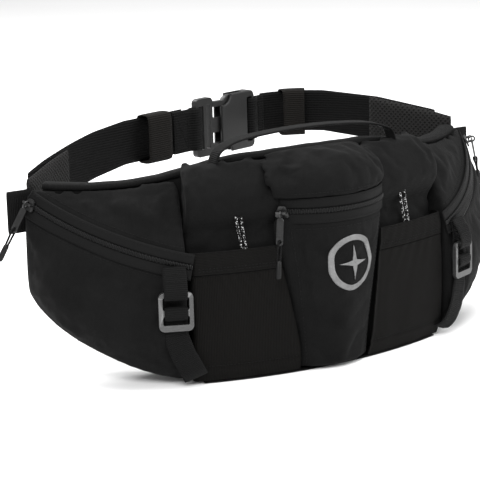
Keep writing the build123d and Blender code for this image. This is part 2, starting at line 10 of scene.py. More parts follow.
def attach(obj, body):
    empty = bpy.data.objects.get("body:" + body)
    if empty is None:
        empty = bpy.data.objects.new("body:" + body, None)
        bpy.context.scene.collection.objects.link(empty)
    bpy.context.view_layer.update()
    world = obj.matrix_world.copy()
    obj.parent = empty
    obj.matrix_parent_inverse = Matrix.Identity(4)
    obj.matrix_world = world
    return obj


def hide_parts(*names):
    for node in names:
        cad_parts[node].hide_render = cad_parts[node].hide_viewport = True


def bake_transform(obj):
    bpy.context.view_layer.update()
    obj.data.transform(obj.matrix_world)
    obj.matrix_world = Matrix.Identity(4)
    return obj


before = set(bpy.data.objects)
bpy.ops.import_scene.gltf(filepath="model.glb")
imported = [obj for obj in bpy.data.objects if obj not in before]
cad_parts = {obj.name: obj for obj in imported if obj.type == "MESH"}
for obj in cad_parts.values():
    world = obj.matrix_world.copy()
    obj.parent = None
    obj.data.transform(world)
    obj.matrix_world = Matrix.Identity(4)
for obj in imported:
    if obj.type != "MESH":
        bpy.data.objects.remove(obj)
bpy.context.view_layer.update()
MM = 0.001
SIDES = ((-1, "left"), (1, "right"))
UP = Vector((0, 0, 1))
REAR = Vector((0, 1, 0))
WAIST_Y = 320.0
BACK_RADIUS = 310.0
TEX_RADIUS = 0.345        # radius at which angles become lengths for the weaves
BELT_TOP = 181.0
WEBBING = 38.0


def added(name, data):
    """New object in the scene."""
    obj = bpy.data.objects.new(name, data)
    bpy.context.scene.collection.objects.link(obj)
    return obj


def aim(obj, place, direction):
    """Puts a camera or a lamp at a place, looking along a direction."""
    obj.location = place
    obj.rotation_mode = "QUATERNION"
    obj.rotation_quaternion = direction.to_track_quat("-Z", "Y")
# --- camera and light ------------------------------------------------------------------------
TARGET = Vector((-0.073, 0.0, 0.1095))
AZIMUTH, ELEVATION, DISTANCE, ROLL = radians(-31.0), radians(13.5), 1.488, radians(-1.6)
back = Vector((sin(AZIMUTH) * cos(ELEVATION), -cos(AZIMUTH) * cos(ELEVATION), sin(ELEVATION)))
camera = added("camera", bpy.data.cameras.new("camera"))
aim(camera, TARGET + back * DISTANCE, -back)
camera.rotation_quaternion = camera.rotation_quaternion @ Quaternion((0, 0, 1), ROLL)
camera.data.lens = 142.5
bpy.context.scene.camera = camera

# name, place, the point it is aimed at, side of its square, power
LAMPS = (("key", (-1.2, -1.3, 1.7), (0, 0, 0.08), 1.0, 46), ("fill", (1.5, -1.0, 0.9), (0, 0, 0.1), 1.2, 22),
         ("rim", (-0.3, 1.6, 1.5), (0, 0, 0.15), 1.0, 34), ("top", (0.1, -0.1, 1.9), (0, 0, 0.1), 1.2, 24))
for name, spot, look_at, size, power in LAMPS:
    lamp = bpy.data.lights.new(name, "AREA")
    lamp.size = size
    lamp.energy = power
    aim(added(name, lamp), spot, Vector(look_at) - Vector(spot))
world = bpy.data.worlds.new("studio")
world.use_nodes = True
world.node_tree.nodes["Background"].inputs[0].default_value = (1, 1, 1, 1)
world.node_tree.nodes["Background"].inputs[1].default_value = 0.75
bpy.context.scene.world = world
bpy.context.scene.view_settings.view_transform = "Standard"

# --- materials -------------------------------------------------------------------------------
class Nodes:
    """Small helper for building one material's node tree."""

    def __init__(self, name, roughness, metallic=0.0, sheen=0.0, shine=0.07):
        self.material = bpy.data.materials.new(name)
        self.material.use_nodes = True
        self.tree = self.material.node_tree
        self.shader = self.tree.nodes["Principled BSDF"]
        self.shader.inputs["Roughness"].default_value = roughness
        self.shader.inputs["Metallic"].default_value = metallic
        self.shader.inputs["Sheen Weight"].default_value = sheen
        self.shader.inputs["Sheen Roughness"].default_value = 0.45
        self.shader.inputs["Specular IOR Level"].default_value = 0.5 if metallic else shine
        self.height = None

    def add(self, kind, inputs=None, **settings):
        node = self.tree.nodes.new(kind)
        for key, value in settings.items():
            setattr(node, key, value)
        for key, value in (inputs or {}).items():
            if isinstance(value, bpy.types.NodeSocket):
                self.tree.links.new(value, node.inputs[key])
            else:
                node.inputs[key].default_value = value
        return node

    def math(self, operation, a, b=0.0):
        return self.add("ShaderNodeMath", {0: a, 1: b}, operation=operation).outputs[0]

    def coordinates(self, use_uv):
        source = self.add("ShaderNodeTexCoord")
        return source.outputs["UV" if use_uv else "Object"]

    def wave(self, vector, direction, period):
        """Sine ridges across a direction, one every period metres."""
        node = self.add("ShaderNodeTexWave", {"Vector": vector, "Scale": 0.31416 / period},
                        wave_type="BANDS", bands_direction=direction, wave_profile="SIN")
        return node.outputs["Fac"]

    def noise(self, vector, size, detail=3.0):
        node = self.add("ShaderNodeTexNoise", {"Vector": vector, "Scale": 1.0 / size, "Detail": detail,
                        "Roughness": 0.55})
        return node.outputs["Fac"]

    def ramp(self, factor, low, high, low_at=0.3, high_at=0.7):
        node = self.add("ShaderNodeValToRGB", {"Fac": factor})
        node.color_ramp.elements[0].position = low_at
        node.color_ramp.elements[1].position = high_at
        node.color_ramp.elements[0].color = (*low, 1)
        node.color_ramp.elements[1].color = (*high, 1)
        return node.outputs["Color"]

    def mix(self, factor, first, second):
        node = self.add("ShaderNodeMixRGB", {"Fac": factor, "Color1": first, "Color2": second})
        return node.outputs["Color"]

    def bump(self, height, depth, strength=1.0):
        """Adds one layer of relief, depth metres tall."""
        inputs = {"Height": height, "Distance": depth, "Strength": strength}
        if self.height is not None:
            inputs["Normal"] = self.height
        self.height = self.add("ShaderNodeBump", inputs).outputs["Normal"]
        self.tree.links.new(self.height, self.shader.inputs["Normal"])

    def colour(self, socket):
        self.tree.links.new(socket, self.shader.inputs["Base Color"])

    def rough(self, socket, low, high):
        node = self.add("ShaderNodeMapRange", {"Value": socket, "To Min": low, "To Max": high})
        self.tree.links.new(node.outputs["Result"], self.shader.inputs["Roughness"])


def grey(value, warm=0.0):
    return (value * (1 + warm), value, value * (1 - warm))


def woven(name, base, thread, relief, sheen=0.25, roughness=0.78, warm=0.0, use_uv=True, mottled=0.035):
    """Plain weave of two crossing threads, with soft mottling and a painted highlight on the weave's high spots.
    """
    n = Nodes(name, roughness, sheen=sheen)
    vector = n.coordinates(use_uv)
    warp = n.wave(vector, "X", thread)
    weft = n.wave(vector, "Y", thread)
    checks = n.math("MULTIPLY", warp, weft)
    patches = n.noise(n.coordinates(False), mottled)
    fine = n.noise(n.coordinates(False), 0.004, 4.0)
    colour = n.ramp(patches, grey(base * 0.78, warm), grey(base * 1.3, warm))
    # painted highlight: the raised thread crossings are lightened
    colour = n.mix(n.math("MULTIPLY", checks, 0.35), colour, (*grey(base * 2.2, warm), 1))
    n.colour(colour)
    n.rough(fine, roughness - 0.1, roughness + 0.12)
    n.bump(fine, 0.0006, 0.5)
    n.bump(checks, relief)
    return n.material


def ribbed(name, base, rib, relief, direction="X", sheen=0.2, roughness=0.72, warm=0.0, cross=0.0):
    """Webbing or knitted ribs that run across one direction, with a finer thread between them; painted highlight
    on their crests and painted shade in the grooves.
    """
    n = Nodes(name, roughness, sheen=sheen)
    vector = n.coordinates(True)
    ribs = n.wave(vector, direction, rib)
    other = "Y" if direction == "X" else "X"
    threads = n.wave(vector, other, cross or rib * 0.55)
    fine = n.noise(n.coordinates(False), 0.006, 4.0)
    # painted highlight on the rib and thread crests, painted shade in the grooves between them
    colour = n.mix(ribs, (*grey(base * 0.45, warm), 1), (*grey(base * 1.5, warm), 1))
    colour = n.mix(n.math("MULTIPLY", threads, 0.3), colour, (*grey(base * 1.9, warm), 1))
    n.colour(n.mix(0.35, colour, n.ramp(fine, grey(base * 0.6, warm), grey(base * 1.4, warm))))
    n.rough(fine, roughness - 0.1, roughness + 0.15)
    n.bump(threads, relief * 0.35)
    n.bump(ribs, relief)
    return n.material


def spacer(name, base, pitch, relief, warm=0.02):
    """Open three-layer mesh: rows of small diamond holes in a knitted face, with painted shade in the holes."""
    n = Nodes(name, 0.82, sheen=0.02)
    vector = n.coordinates(True)
    turned = n.add("ShaderNodeMapping", {"Vector": vector, "Rotation": (0, 0, radians(45))}).outputs[0]
    holes = n.math("MULTIPLY", n.wave(turned, "X", pitch), n.wave(turned, "Y", pitch))
    holes = n.math("SUBTRACT", 1.0, n.math("MULTIPLY", holes, 1.25))
    fine = n.noise(n.coordinates(False), 0.003, 4.0)
    # painted shade: the holes are darkened where the relief sinks
    colour = n.ramp(holes, grey(base * 0.25, warm), grey(base * 1.35, warm), 0.15, 0.6)
    n.colour(n.mix(0.25, colour, n.ramp(fine, grey(base * 0.6, warm), grey(base * 1.5, warm))))
    n.bump(fine, 0.0004, 0.6)
    n.bump(holes, relief)
    return n.material


def moulded(name, base, roughness, grain=0.0016, relief=0.00006, shine=0.5):
    """Moulded plastic: fine spark texture, rubbed shinier in patches."""
    n = Nodes(name, roughness, shine=shine)
    vector = n.coordinates(False)
    spark = n.noise(vector, grain, 2.0)
    rubbed = n.noise(vector, 0.02, 3.0)
    n.colour(n.ramp(rubbed, grey(base * 0.9), grey(base * 1.12)))
    n.rough(rubbed, roughness - 0.08, roughness + 0.1)
    n.bump(spark, relief)
    return n.material


def plated(name, base, roughness):
    """Dark plated or anodised metal with fine scuffs and worn edges."""
    n = Nodes(name, roughness, metallic=0.9)
    vector = n.coordinates(False)
    stretched = n.add("ShaderNodeMapping", {"Vector": vector, "Scale": (1.0, 1.0, 6.0)}).outputs[0]
    scuffs = n.noise(stretched, 0.004, 5.0)
    worn = n.add("ShaderNodeNewGeometry").outputs["Pointiness"]
    edge = n.ramp(worn, (0, 0, 0), (1, 1, 1), 0.52, 0.62)
    colour = n.ramp(scuffs, grey(base * 0.8), grey(base * 1.25))
    n.colour(n.mix(edge, colour, (*grey(base * 2.4), 1)))
    n.rough(scuffs, roughness - 0.08, roughness + 0.14)
    n.bump(scuffs, 0.00005)
    return n.material


def speckled_cord(name, base, fleck, bright_to=0.12, dark_from=0.3):
    """Braided cord with bright reflective flecks."""
    n = Nodes(name, 0.6, sheen=0.01)
    vector = n.coordinates(False)
    cells = n.add("ShaderNodeTexVoronoi", {"Vector": vector, "Scale": 1 / 0.0013}).outputs["Distance"]
    braid = n.add("ShaderNodeTexWave", {"Vector": vector, "Scale": 260.0, "Distortion": 2.0},
                  wave_type="BANDS", bands_direction="DIAGONAL").outputs["Fac"]
    n.colour(n.ramp(cells, grey(fleck), grey(base), bright_to, dark_from))
    n.bump(braid, 0.0003)
    return n.material


M_BODY = woven("pack_cloth", 0.0034, 0.0011, 0.00012, sheen=0.012)
M_BASE = woven("coated_cloth", 0.0022, 0.0016, 0.0001, sheen=0.0, roughness=0.6)
M_MESH = ribbed("stretch_mesh", 0.0032, 0.0013, 0.0002, sheen=0.012, roughness=0.85, warm=0.08)
M_HEM = ribbed("hem_elastic", 0.0034, 0.0012, 0.0002, direction="Y", sheen=0.012, roughness=0.85, warm=0.06)
M_WEBBING = ribbed("belt_webbing", 0.0034, 0.0022, 0.0003, direction="Y", sheen=0.012, roughness=0.7, cross=0.0013)
M_NARROW = ribbed("narrow_webbing", 0.0038, 0.0015, 0.0003, sheen=0.012, roughness=0.7)
M_BINDING = ribbed("grosgrain", 0.0032, 0.0013, 0.0002, sheen=0.012)
M_ELASTIC = ribbed("keeper_elastic", 0.0070, 0.0018, 0.0004, direction="Y", sheen=0.012, roughness=0.8, warm=0.10)
M_TAPE = ribbed("zip_tape", 0.0040, 0.0007, 0.00006, sheen=0.01, roughness=0.6)
M_COIL = moulded("coil_nylon", 0.004, 0.5, shine=0.2)
M_SPACER = spacer("spacer_mesh", 0.011, 0.0030, 0.0006)
M_FOAM = woven("foam_edge", 0.003, 0.0014, 0.0001, sheen=0.012)
M_PLASTIC = moulded("buckle_plastic", 0.010, 0.40, shine=0.3)
M_METAL = plated("gunmetal", 0.075, 0.36)
M_ZINC = plated("dark_zinc", 0.035, 0.32)
M_CORD = speckled_cord("pull_cord", 0.004, 0.009)
M_FLECK = speckled_cord("fleck_cord", 0.005, 0.42, 0.34, 0.42)
M_RUBBER = moulded("cord_end", 0.004, 0.5, shine=0.2)
M_PRINT = woven("reflective_print", 0.135, 0.0011, 0.00005, sheen=0.0, roughness=0.5, mottled=0.01)
M_THREAD = woven("thread", 0.0065, 0.0006, 0.00005, sheen=0.01, roughness=0.6, use_uv=False)


# --- shapes ----------------------------------------------------------------------------------
def waist(angle, depth, height):
    """Point at an angle round the waist axis, a depth in front of the back face, in millimetres."""
    reach = BACK_RADIUS + depth
    return Vector((reach * sin(radians(angle)), WAIST_Y - reach * cos(radians(angle)), height))


def outward(angle):
    return Vector((sin(radians(angle)), -cos(radians(angle)), 0))


def lerp_table(table, x):
    """Value of a table of (x, value) pairs, straight between them."""
    return float(np.interp(x, [p[0] for p in table], [p[1] for p in table]))


def curve_through(points, step=2.0):
    """Smooth curve through points in millimetres, resampled about step apart."""
    ends = [points[0] * 2 - points[1], *points, points[-1] * 2 - points[-2]]
    fine = []
    for a, b, c, d in zip(ends, ends[1:], ends[2:], ends[3:]):
        count = max(2, int((c - b).length / (step / 2)))
        for k in range(count):
            t = k / count
            fine.append(0.5 * (2 * b + (c - a) * t + (2 * a - 5 * b + 4 * c - d) * t * t
                               + (3 * b - a - 3 * c + d) * t * t * t))
    fine.append(points[-1])
    return resample(fine, step)


def clamp(x, low=0.0, high=1.0):
    return min(max(x, low), high)


def lengths(points):
    """Distance travelled along a path at each of its points."""
    along = [0.0]
    for a, b in zip(points, points[1:]):
        along.append(along[-1] + (b - a).length)
    return along


def resample(points, step):
    along = lengths(points)
    at = np.linspace(0, along[-1], max(2, round(along[-1] / step) + 1))
    columns = [np.interp(at, along, [p[k] for p in points]) for k in range(3)]
    return [Vector(p) for p in zip(*columns)]


def tangents(points):
    ahead, behind = points[1:] + points[-1:], points[:1] + points[:-1]
    return [(a - b).normalized() for a, b in zip(ahead, behind)]


def make(name, points, faces, material, uvs=None):
    """Mesh object from points in millimetres, with one texture coordinate for each point."""
    mesh = bpy.data.meshes.new(name)
    mesh.from_pydata([tuple(p * MM) for p in points], [], faces)
    mesh.materials.append(material)
    for polygon in mesh.polygons:
        polygon.use_smooth = True
    if uvs is not None:
        set_uvs(mesh, uvs)
    mesh.update()
    return added(name, mesh)


def set_uvs(mesh, uvs):
    layer = mesh.uv_layers.get("weave") or mesh.uv_layers.new(name="weave")
    index = np.zeros(len(mesh.loops), np.int32)
    mesh.loops.foreach_get("vertex_index", index)
    layer.data.foreach_set("uv", np.asarray(uvs, np.float32)[index].ravel())


def place(obj, body, nodes=(), slot=None):
    """Puts a finished piece on its body and hides the CAD nodes it stands for."""
    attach(obj, body)
    if nodes:
        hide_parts(*nodes)
    return obj


def strip_faces(rows, columns, closed_rows=False, first=0):
    """Quads of a grid whose rows are closed rings of columns points."""
    faces = []
    for r in range(rows if closed_rows else rows - 1):
        a, b = first + r * columns, first + ((r + 1) % rows) * columns
        for c in range(columns):
            d = (c + 1) % columns
            faces.append((a + c, a + d, b + d, b + c))
    return faces


def turned(faces):
    """The same faces, seen from their other side."""
    return [face[::-1] for face in faces]


def strap_faces(rows, columns):
    """Faces of a flat strap whose rows are closed rings, with its two cut ends."""
    ends = [(base + columns - 1 - c, base + columns - 2 - c, base + c + 1, base + c)
            for base in (0, (rows - 1) * columns) for c in range(columns // 2 - 1)]
    return strip_faces(rows, columns) + ends


def skin_faces(outer, inner):
    """Faces of a sheet's two grids, each of outer rows of inner points, and those of the rim between them."""
    size = outer * inner
    starts = [i * inner + j for i in range(outer - 1) for j in range(inner - 1)]
    grid = [(a, a + inner, a + inner + 1, a + 1) for a in starts]
    grid += [(a + 1, a + inner + 1, a + inner, a) for a in (size + start for start in starts)]
    rim = [i * inner for i in range(outer)] + [(outer - 1) * inner + j for j in range(1, inner)]
    rim += [i * inner + inner - 1 for i in range(outer - 2, -1, -1)] + list(range(inner - 2, 0, -1))
    return grid, [(b, a, a + size, b + size) for a, b in zip(rim, rim[1:] + rim[:1])]


def section(columns, thickness, selvedge=0.0):
    """Closed outline of a flat strap's cut end: fractions of the width, and offsets off its middle."""
    front = []
    for w in np.linspace(-0.5, 0.5, columns):
        lift = thickness / 2 * (0.45 if abs(w) > 0.499 else 1.0)
        if 0.42 < abs(w) < 0.499:
            lift += selvedge
        front.append((w, lift))
    return front + [(w, -n) for w, n in reversed(front)]


def ribbon(name, path, across, width, thickness, material, columns=9):
    """Flat strap along a path of points; across gives the direction of its width at each point."""
    profile = section(columns, thickness, 0.06)
    points, uvs = [], []
    for k, (p, t, along) in enumerate(zip(path, tangents(path), lengths(path))):
        side = across[k] if isinstance(across, list) else across
        side = (side - t * side.dot(t)).normalized()
        normal = t.cross(side).normalized()
        wide = width[k] if isinstance(width, list) else width
        for w, lift in profile:
            points.append(p + side * (w * wide) + normal * lift)
            uvs.append((along * MM, w * wide * MM))
    return make(name, points, strap_faces(len(path), len(profile)), material, uvs)


def noise_at(p):
    """Smooth repeatable value from about -1 to 1."""
    x, y, z = p
    return (sin(x * 1.7 + 1.3 * sin(y * 1.1 + 0.4)) * 0.5 + sin(y * 2.3 + 1.1 * sin(z * 1.9 + 1.7)) * 0.3
            + sin(z * 3.1 + 0.9 * sin(x * 2.7 + 2.2)) * 0.2)


def add_bar(points, faces, rings, across, up, sides):
    """Adds a closed bar to a mesh; each ring has a centre and its reach across and up."""
    start = len(points)
    for centre, wide, tall in rings:
        for s in range(sides):
            turn = 2 * pi * s / sides
            points.append(centre + across * (cos(turn) * wide) + up * (sin(turn) * tall))
    faces += strip_faces(len(rings), sides, first=start)
    faces += [tuple(range(start, start + sides))[::-1], tuple(range(len(points) - sides, len(points)))]


def free_cord(name, points, radius, material):
    """Round cord on one smooth spline that takes its route's points as control points."""
    curve = bpy.data.curves.new(name, "CURVE")
    curve.dimensions = "3D"
    curve.bevel_depth = radius * MM
    curve.bevel_resolution = 3
    curve.use_fill_caps = True
    curve.materials.append(material)
    spline = curve.splines.new("NURBS")
    spline.points.add(len(points) - 1)
    for point, p in zip(spline.points, points):
        point.co = (*(p * MM), 1.0)
    spline.order_u = 3
    spline.use_endpoint_u = True
    spline.resolution_u = 8
    return added(name, curve)


STITCH = ((0.0, 0.45, 0.2), (0.25, 1.0, 0.55), (0.75, 1.0, 0.55), (1.0, 0.45, 0.2))    # share, radius, rise


def stitches(name, runs, pitch, length, radius, body="root"):
    """Rows of thread: each run is a list of (point, normal), and each stitch a small rounded bar."""
    points, faces = [], []
    for run in runs:
        places, normals = [p for p, _ in run], [n for _, n in run]
        along = lengths(places)
        for k in range(int(along[-1] / pitch)):
            mid = (k + 0.5) * pitch
            a, b = (at_length(places, along, mid + s * length / 2) for s in (-1, 1))
            if (b - a).length < 1e-6:
                continue
            n = at_length(normals, along, mid).normalized()
            rings = [(a.lerp(b, f) + n * (radius * rise), radius * r, radius * r) for f, r, rise in STITCH]
            add_bar(points, faces, rings, n.cross((b - a).normalized()).normalized(), n, 6)
    return place(make(name, points, faces, M_THREAD), body)


def at_length(values, along, x):
    k = int(np.searchsorted(along, clamp(x, 0.0, along[-1] - 1e-9), side="right")) - 1
    k = clamp(k, 0, len(values) - 2)
    span = max(along[k + 1] - along[k], 1e-9)
    return values[k].lerp(values[k + 1], clamp((x - along[k]) / span))


def symmetric(half):
    """Whole table from its right half, listed from the outside in."""
    return [(-x, y) for x, y in half] + [(x, y) for x, y in reversed(half) if x]


# --- zips' tracks ----------------------------------------------------------------------------
TRACKS = {s: {"centre": (28 * s, 150.4, 167.2), "axis": (-0.03 * s, -0.42, 0.905), "radius": 197.5,
              "start": (0.47 * s, -0.80, -0.36), "tilt": 32.0, "sweep": 42.0 * s} for s in (-1, 1)}
TRACKS[0] = {"centre": (0, 22, 133), "axis": (0, 0, 1), "start": (-sin(radians(49)), -cos(radians(49)), 0),
             "radius": 64.6, "tilt": 0.0, "sweep": 98.0}
ZIP_NAMES = {-1: "left", 1: "right", 0: "centre"}


def track_frame(side, angle):
    """Centre of the turn, and the zip's outward and upward directions at an angle from its start."""
    t = TRACKS[side]
    up = Vector(t["axis"]).normalized()
    out = Vector(t["start"])
    out = (out - up * out.dot(up)).normalized()
    out.rotate(Quaternion(up, radians(angle)))
    return Vector(t["centre"]), out, up


def track_point(side, angle, across, rise):
    """Point beside a zip, and the direction off its tape."""
    t = TRACKS[side]
    centre, out, up = track_frame(side, angle)
    c, s = cos(radians(t["tilt"])), sin(radians(t["tilt"]))
    off = out * c + up * s
    return centre + out * t["radius"] + off * rise + (up * c - out * s) * across, off


def track_place(side, p):
    """Angle, across and rise of a point beside a zip."""
    t = TRACKS[side]
    centre, out, up = track_frame(side, 0.0)
    q = p - centre
    h = q.dot(up)
    flat = q - up * h
    angle = degrees(atan2(up.cross(out).dot(flat), out.dot(flat)))
    r = flat.length - t["radius"]
    c, s = cos(radians(t["tilt"])), sin(radians(t["tilt"]))
    return angle, -r * s + h * c, r * c + h * s


def in_sweep(side, angle, extra=1.0):
    sweep = TRACKS[side]["sweep"]
    low, high = sorted((0.0, sweep))
    return low - extra <= angle <= high + extra


# --- soft compartments -----------------------------------------------------------------------
def baked(obj):
    """Replaces an object's mesh by its evaluated one and drops its modifiers."""
    evaluated = obj.evaluated_get(bpy.context.evaluated_depsgraph_get())
    mesh = bpy.data.meshes.new_from_object(evaluated)
    obj.modifiers.clear()
    old, obj.data = obj.data, mesh
    bpy.data.meshes.remove(old)
    return obj


def coordinates(mesh):
    co = np.zeros(len(mesh.vertices) * 3, np.float32)
    mesh.vertices.foreach_get("co", co)
    return co.reshape(-1, 3).astype(float)


def put_coordinates(mesh, co):
    mesh.vertices.foreach_set("co", co.astype(np.float32).ravel())
    mesh.update()


def pad_from(node, name, voxel):
    """Evenly meshed copy of a CAD solid, to be inflated as cloth."""
    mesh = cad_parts[node].data.copy()
    mesh.materials.clear()
    mesh.materials.append(M_BODY)
    obj = added(name, mesh)
    remesh = obj.modifiers.new("even", "REMESH")
    remesh.mode = "VOXEL"
    remesh.voxel_size = voxel * MM
    remesh.use_smooth_shade = True
    return baked(obj)


def seam_weights(obj, lines, whole, full=3.5, none=13.0):
    """1 on a seam, falling to 0 away from it; whole(p) is 1 where the piece rests on something."""
    samples = [p for line in lines for p in resample(line, 2.5)]
    tree = KDTree(len(samples))
    for k, p in enumerate(samples):
        tree.insert(p, k)
    tree.balance()
    found = []
    for v in obj.data.vertices:
        p = v.co * 1000
        w = clamp((none - tree.find(p)[2]) / (none - full))
        found.append(max(w * w * (3 - 2 * w), whole(p)))
    return found

def inflate(pads, frames=20):
    """Cloth simulation of all pads at once: pressure inside, seams held, then movement capped."""
    rests = []
    for obj, weights, cap, pressure, slack in pads:
        group = obj.vertex_groups.new(name="held")
        for index, w in enumerate(weights):
            group.add([index], w, "REPLACE")
        cloth = obj.modifiers.new("cloth", "CLOTH")
        settings = cloth.settings
        settings.quality = 5
        settings.mass = 0.25
        settings.tension_stiffness = 12
        settings.compression_stiffness = 10
        settings.shear_stiffness = 4
        settings.bending_stiffness = 0.25
        settings.use_pressure = True
        settings.uniform_pressure_force = pressure
        settings.shrink_min = -slack
        settings.vertex_group_mass = "held"
        settings.effector_weights.gravity = 0.0
        cloth.collision_settings.use_collision = False
        rests.append(coordinates(obj.data))
    scene = bpy.context.scene
    for number in range(1, frames + 1):
        scene.frame_set(number)
    for (obj, weights, cap, pressure, slack), rest in zip(pads, rests):
        evaluated = obj.evaluated_get(bpy.context.evaluated_depsgraph_get())
        moved = bpy.data.meshes.new_from_object(evaluated)
        shift = coordinates(moved) - rest
        size = np.linalg.norm(shift, axis=1, keepdims=True)
        limit = cap * MM * (1 - np.array(weights)[:, None]) + 1e-6
        shift *= np.minimum(1.0, limit / np.maximum(size, 1e-9))
        obj.modifiers.clear()
        obj.vertex_groups.clear()
        put_coordinates(obj.data, rest + shift)
        bpy.data.meshes.remove(moved)
    scene.frame_set(1)


def subdivided(obj):
    smooth = obj.modifiers.new("smooth", "SUBSURF")
    smooth.levels = 1
    smooth.render_levels = 1
    return baked(obj)

def seat_zip(obj, side, half=10.4):
    """Presses a pad down under a zip's tape, with a rolled edge beside it."""
    co = coordinates(obj.data)
    for k, c in enumerate(co):
        angle, across, rise = track_place(side, Vector(c) * 1000)
        if not in_sweep(side, angle, 1.5) or abs(across) > half + 7 or abs(rise) > 14:
            continue
        beyond = max(0.0, abs(across) - half)
        top = -1.1 + min(beyond, 2.5) * 1.5
        if beyond > 2.5:
            top = 2.65 + (beyond - 2.5) * 2.0
        if rise > top:
            p, _ = track_point(side, angle, across, top)
            co[k] = np.array(p) * MM
    put_coordinates(obj.data, co)


def wrap_uvs(obj):
    """Weave coordinates round the waist axis and up the front."""
    co = coordinates(obj.data) * 1000
    dx, dy = co[:, 0], WAIST_Y - co[:, 1]
    angle = np.arctan2(dx, dy)
    reach = np.hypot(dx, dy)
    uv = np.stack([angle * TEX_RADIUS, (co[:, 2] - (reach - BACK_RADIUS)) * MM], axis=1)
    set_uvs(obj.data, uv)


def surface_of(obj):
    """Tree for laying seams and prints on a finished pad."""
    mesh = obj.data
    faces = [tuple(p.vertices) for p in mesh.polygons]
    return BVHTree.FromPolygons([v.co * 1000 for v in mesh.vertices], faces)


def laid(tree, points, direction, reach):
    """Points moved along a direction onto a surface, each with the surface's normal."""
    found = []
    for p in points:
        along = direction(p) if callable(direction) else direction
        hit, normal, _, _ = tree.ray_cast(p - along * reach, along, 2 * reach)
        if hit is None:
            continue
        if normal.dot(along) > 0:
            normal = -normal
        found.append((hit + normal * 0.05, normal))
    return found


def inward(p):
    """Level direction from a point towards the waist axis."""
    return Vector((-p.x, WAIST_Y - p.y, 0)).normalized()


def track_line(side, across, rise):
    sweep = TRACKS[side]["sweep"]
    count = int(abs(sweep))
    return [track_point(side, sweep * k / count, across, rise)[0] for k in range(count + 1)]

# the centre pocket's height, half width, and the depths of its side seams and front
COLUMN = [(2, 32, 20, 31), (40, 36, 21, 37), (85, 42, 22, 41), (122, 48, 20.5, 43)]
# the wing pockets' lower edge, upper edge and depth, by angle round the waist
WING_LOW = [(21, 2.5), (26, 9), (31, 21), (36, 37), (40, 53), (42.9, 70)]
WING_HIGH = [(21, 162), (26, 157), (31, 154), (36, 153), (40, 155), (42.9, 157)]
WING_DEPTH = [(21, 41), (26, 40), (31, 36), (36, 31), (40, 22), (42.9, 10)]
# share up a wing pocket's front, and share of its depth there
WING_PROFILE = ((0.0, 0.62), (0.1, 0.93), (0.4, 1.0), (0.68, 0.86), (0.88, 0.45), (1.0, 0.04))

def depth_of(p):
    return hypot(p.x, WAIST_Y - p.y) - BACK_RADIUS


def angle_of(p):
    return degrees(atan2(p.x, WAIST_Y - p.y))


def column_half(z):
    return lerp_table([(s[0], s[1]) for s in COLUMN], z)


def flare(z):
    """How far the centre pocket's left gusset is pushed out by what is in the pack."""
    return 6.5 * clamp((z - 20) / 80)


def main_whole(p):
    angle, across, _ = track_place(0, p)
    under_zip = in_sweep(0, angle, 2) and abs(across) < 13.5 and depth_of(p) > 10
    return 1.0 if depth_of(p) < 4.0 or p.z < 8.0 or under_zip else 0.0


def wing_whole(side):
    def whole(p):
        if depth_of(p) < 3.5:
            return 1.0
        angle, across, rise = track_place(side, p)
        return 1.0 if in_sweep(side, angle, 1.0) and abs(across) < 12.5 and abs(rise) < 9 else 0.0
    return whole


def column_whole(p):
    return 1.0 if p.z < 5 or p.z > 119 or p.y > -19.0 else 0.0


def lid_whole(p):
    return 1.0 if p.z < 146.5 or p.y > -2.0 else 0.0


# seams of each compartment, in millimetres
END_SEAM = ((24, 12), (24, 60), (24, 121.5), (31, 131), (34.5, 139), (33, 149), (26, 159), (14, 168), (0.5, 171.5))
main_seams = [[waist(s * 20.7, d, z) for d, z in END_SEAM] for s in (-1, 1)]
main_seams.append([waist(a, 0.5, 171.5) for a in range(-20, 21, 2)])
for s in (-1, 1):
    main_seams.append([waist(s * a, 29.5, 129.0) for a in np.linspace(10.8, 20.6, 8)])
    main_seams.append([waist(s * 14.6, d, z) for d, z in ((34.5, 140), (33, 149), (26, 159), (14, 168))])


def wing_seams(side):
    lines = []
    for part, deep in ((0.0, 0.62), (0.985, 0.04)):
        lines.append([waist(side * a, lerp_table(WING_DEPTH, a) * deep + 0.5,
                            lerp_table(WING_LOW, a) * (1 - part) + lerp_table(WING_HIGH, a) * part)
                      for a in np.linspace(21, 42.9, 12)])
    lines.append([waist(side * 21.1, 0.5 + 41 * f, 2.5 + 159.5 * u) for u, f in WING_PROFILE])
    lines.append([waist(side * 42.8, 0.5 + 10 * f, 70 + 87 * u) for u, f in WING_PROFILE])
    return lines + [track_line(side, across, 0.5) for across in (-11.5, 11.5)]


column_seams = [[Vector((x, -43 + (x / 48) ** 2 * 22, 121)) for x in range(-46, 47, 4)]]
for s in (-1, 1):
    column_seams.append([Vector((s * half * 0.93, -side_y - (front - side_y) * 0.17, z))
                         for z, half, side_y, front in COLUMN])
    column_seams.append([Vector((s * half, -side_y, z)) for z, half, side_y, front in COLUMN])
lid_seams = [[Vector((s * x, y, z)) for x, y, z in ((50, -14, 145), (51, -12, 162), (44, 0, 171), (33, 4, 176))]
             for s in (-1, 1)]
lid_seams.append([Vector(p) for p in ((-14, -26, 169.5), (-22, -36, 160), (-31, -38, 151))])
lid_seams.append([Vector((x, 5, 175.5)) for x in range(-33, 34, 6)])

body_cloth = pad_from("main_compartment", "main_compartment_cloth", 4.5)
wings = {side: pad_from(f"wing_pocket_{name}", f"wing_pocket_{name}_cloth", 4.0) for side, name in SIDES}
column = pad_from("centre_pocket", "centre_pocket_cloth", 4.0)
lid = pad_from("centre_lid", "centre_lid_cloth", 3.6)


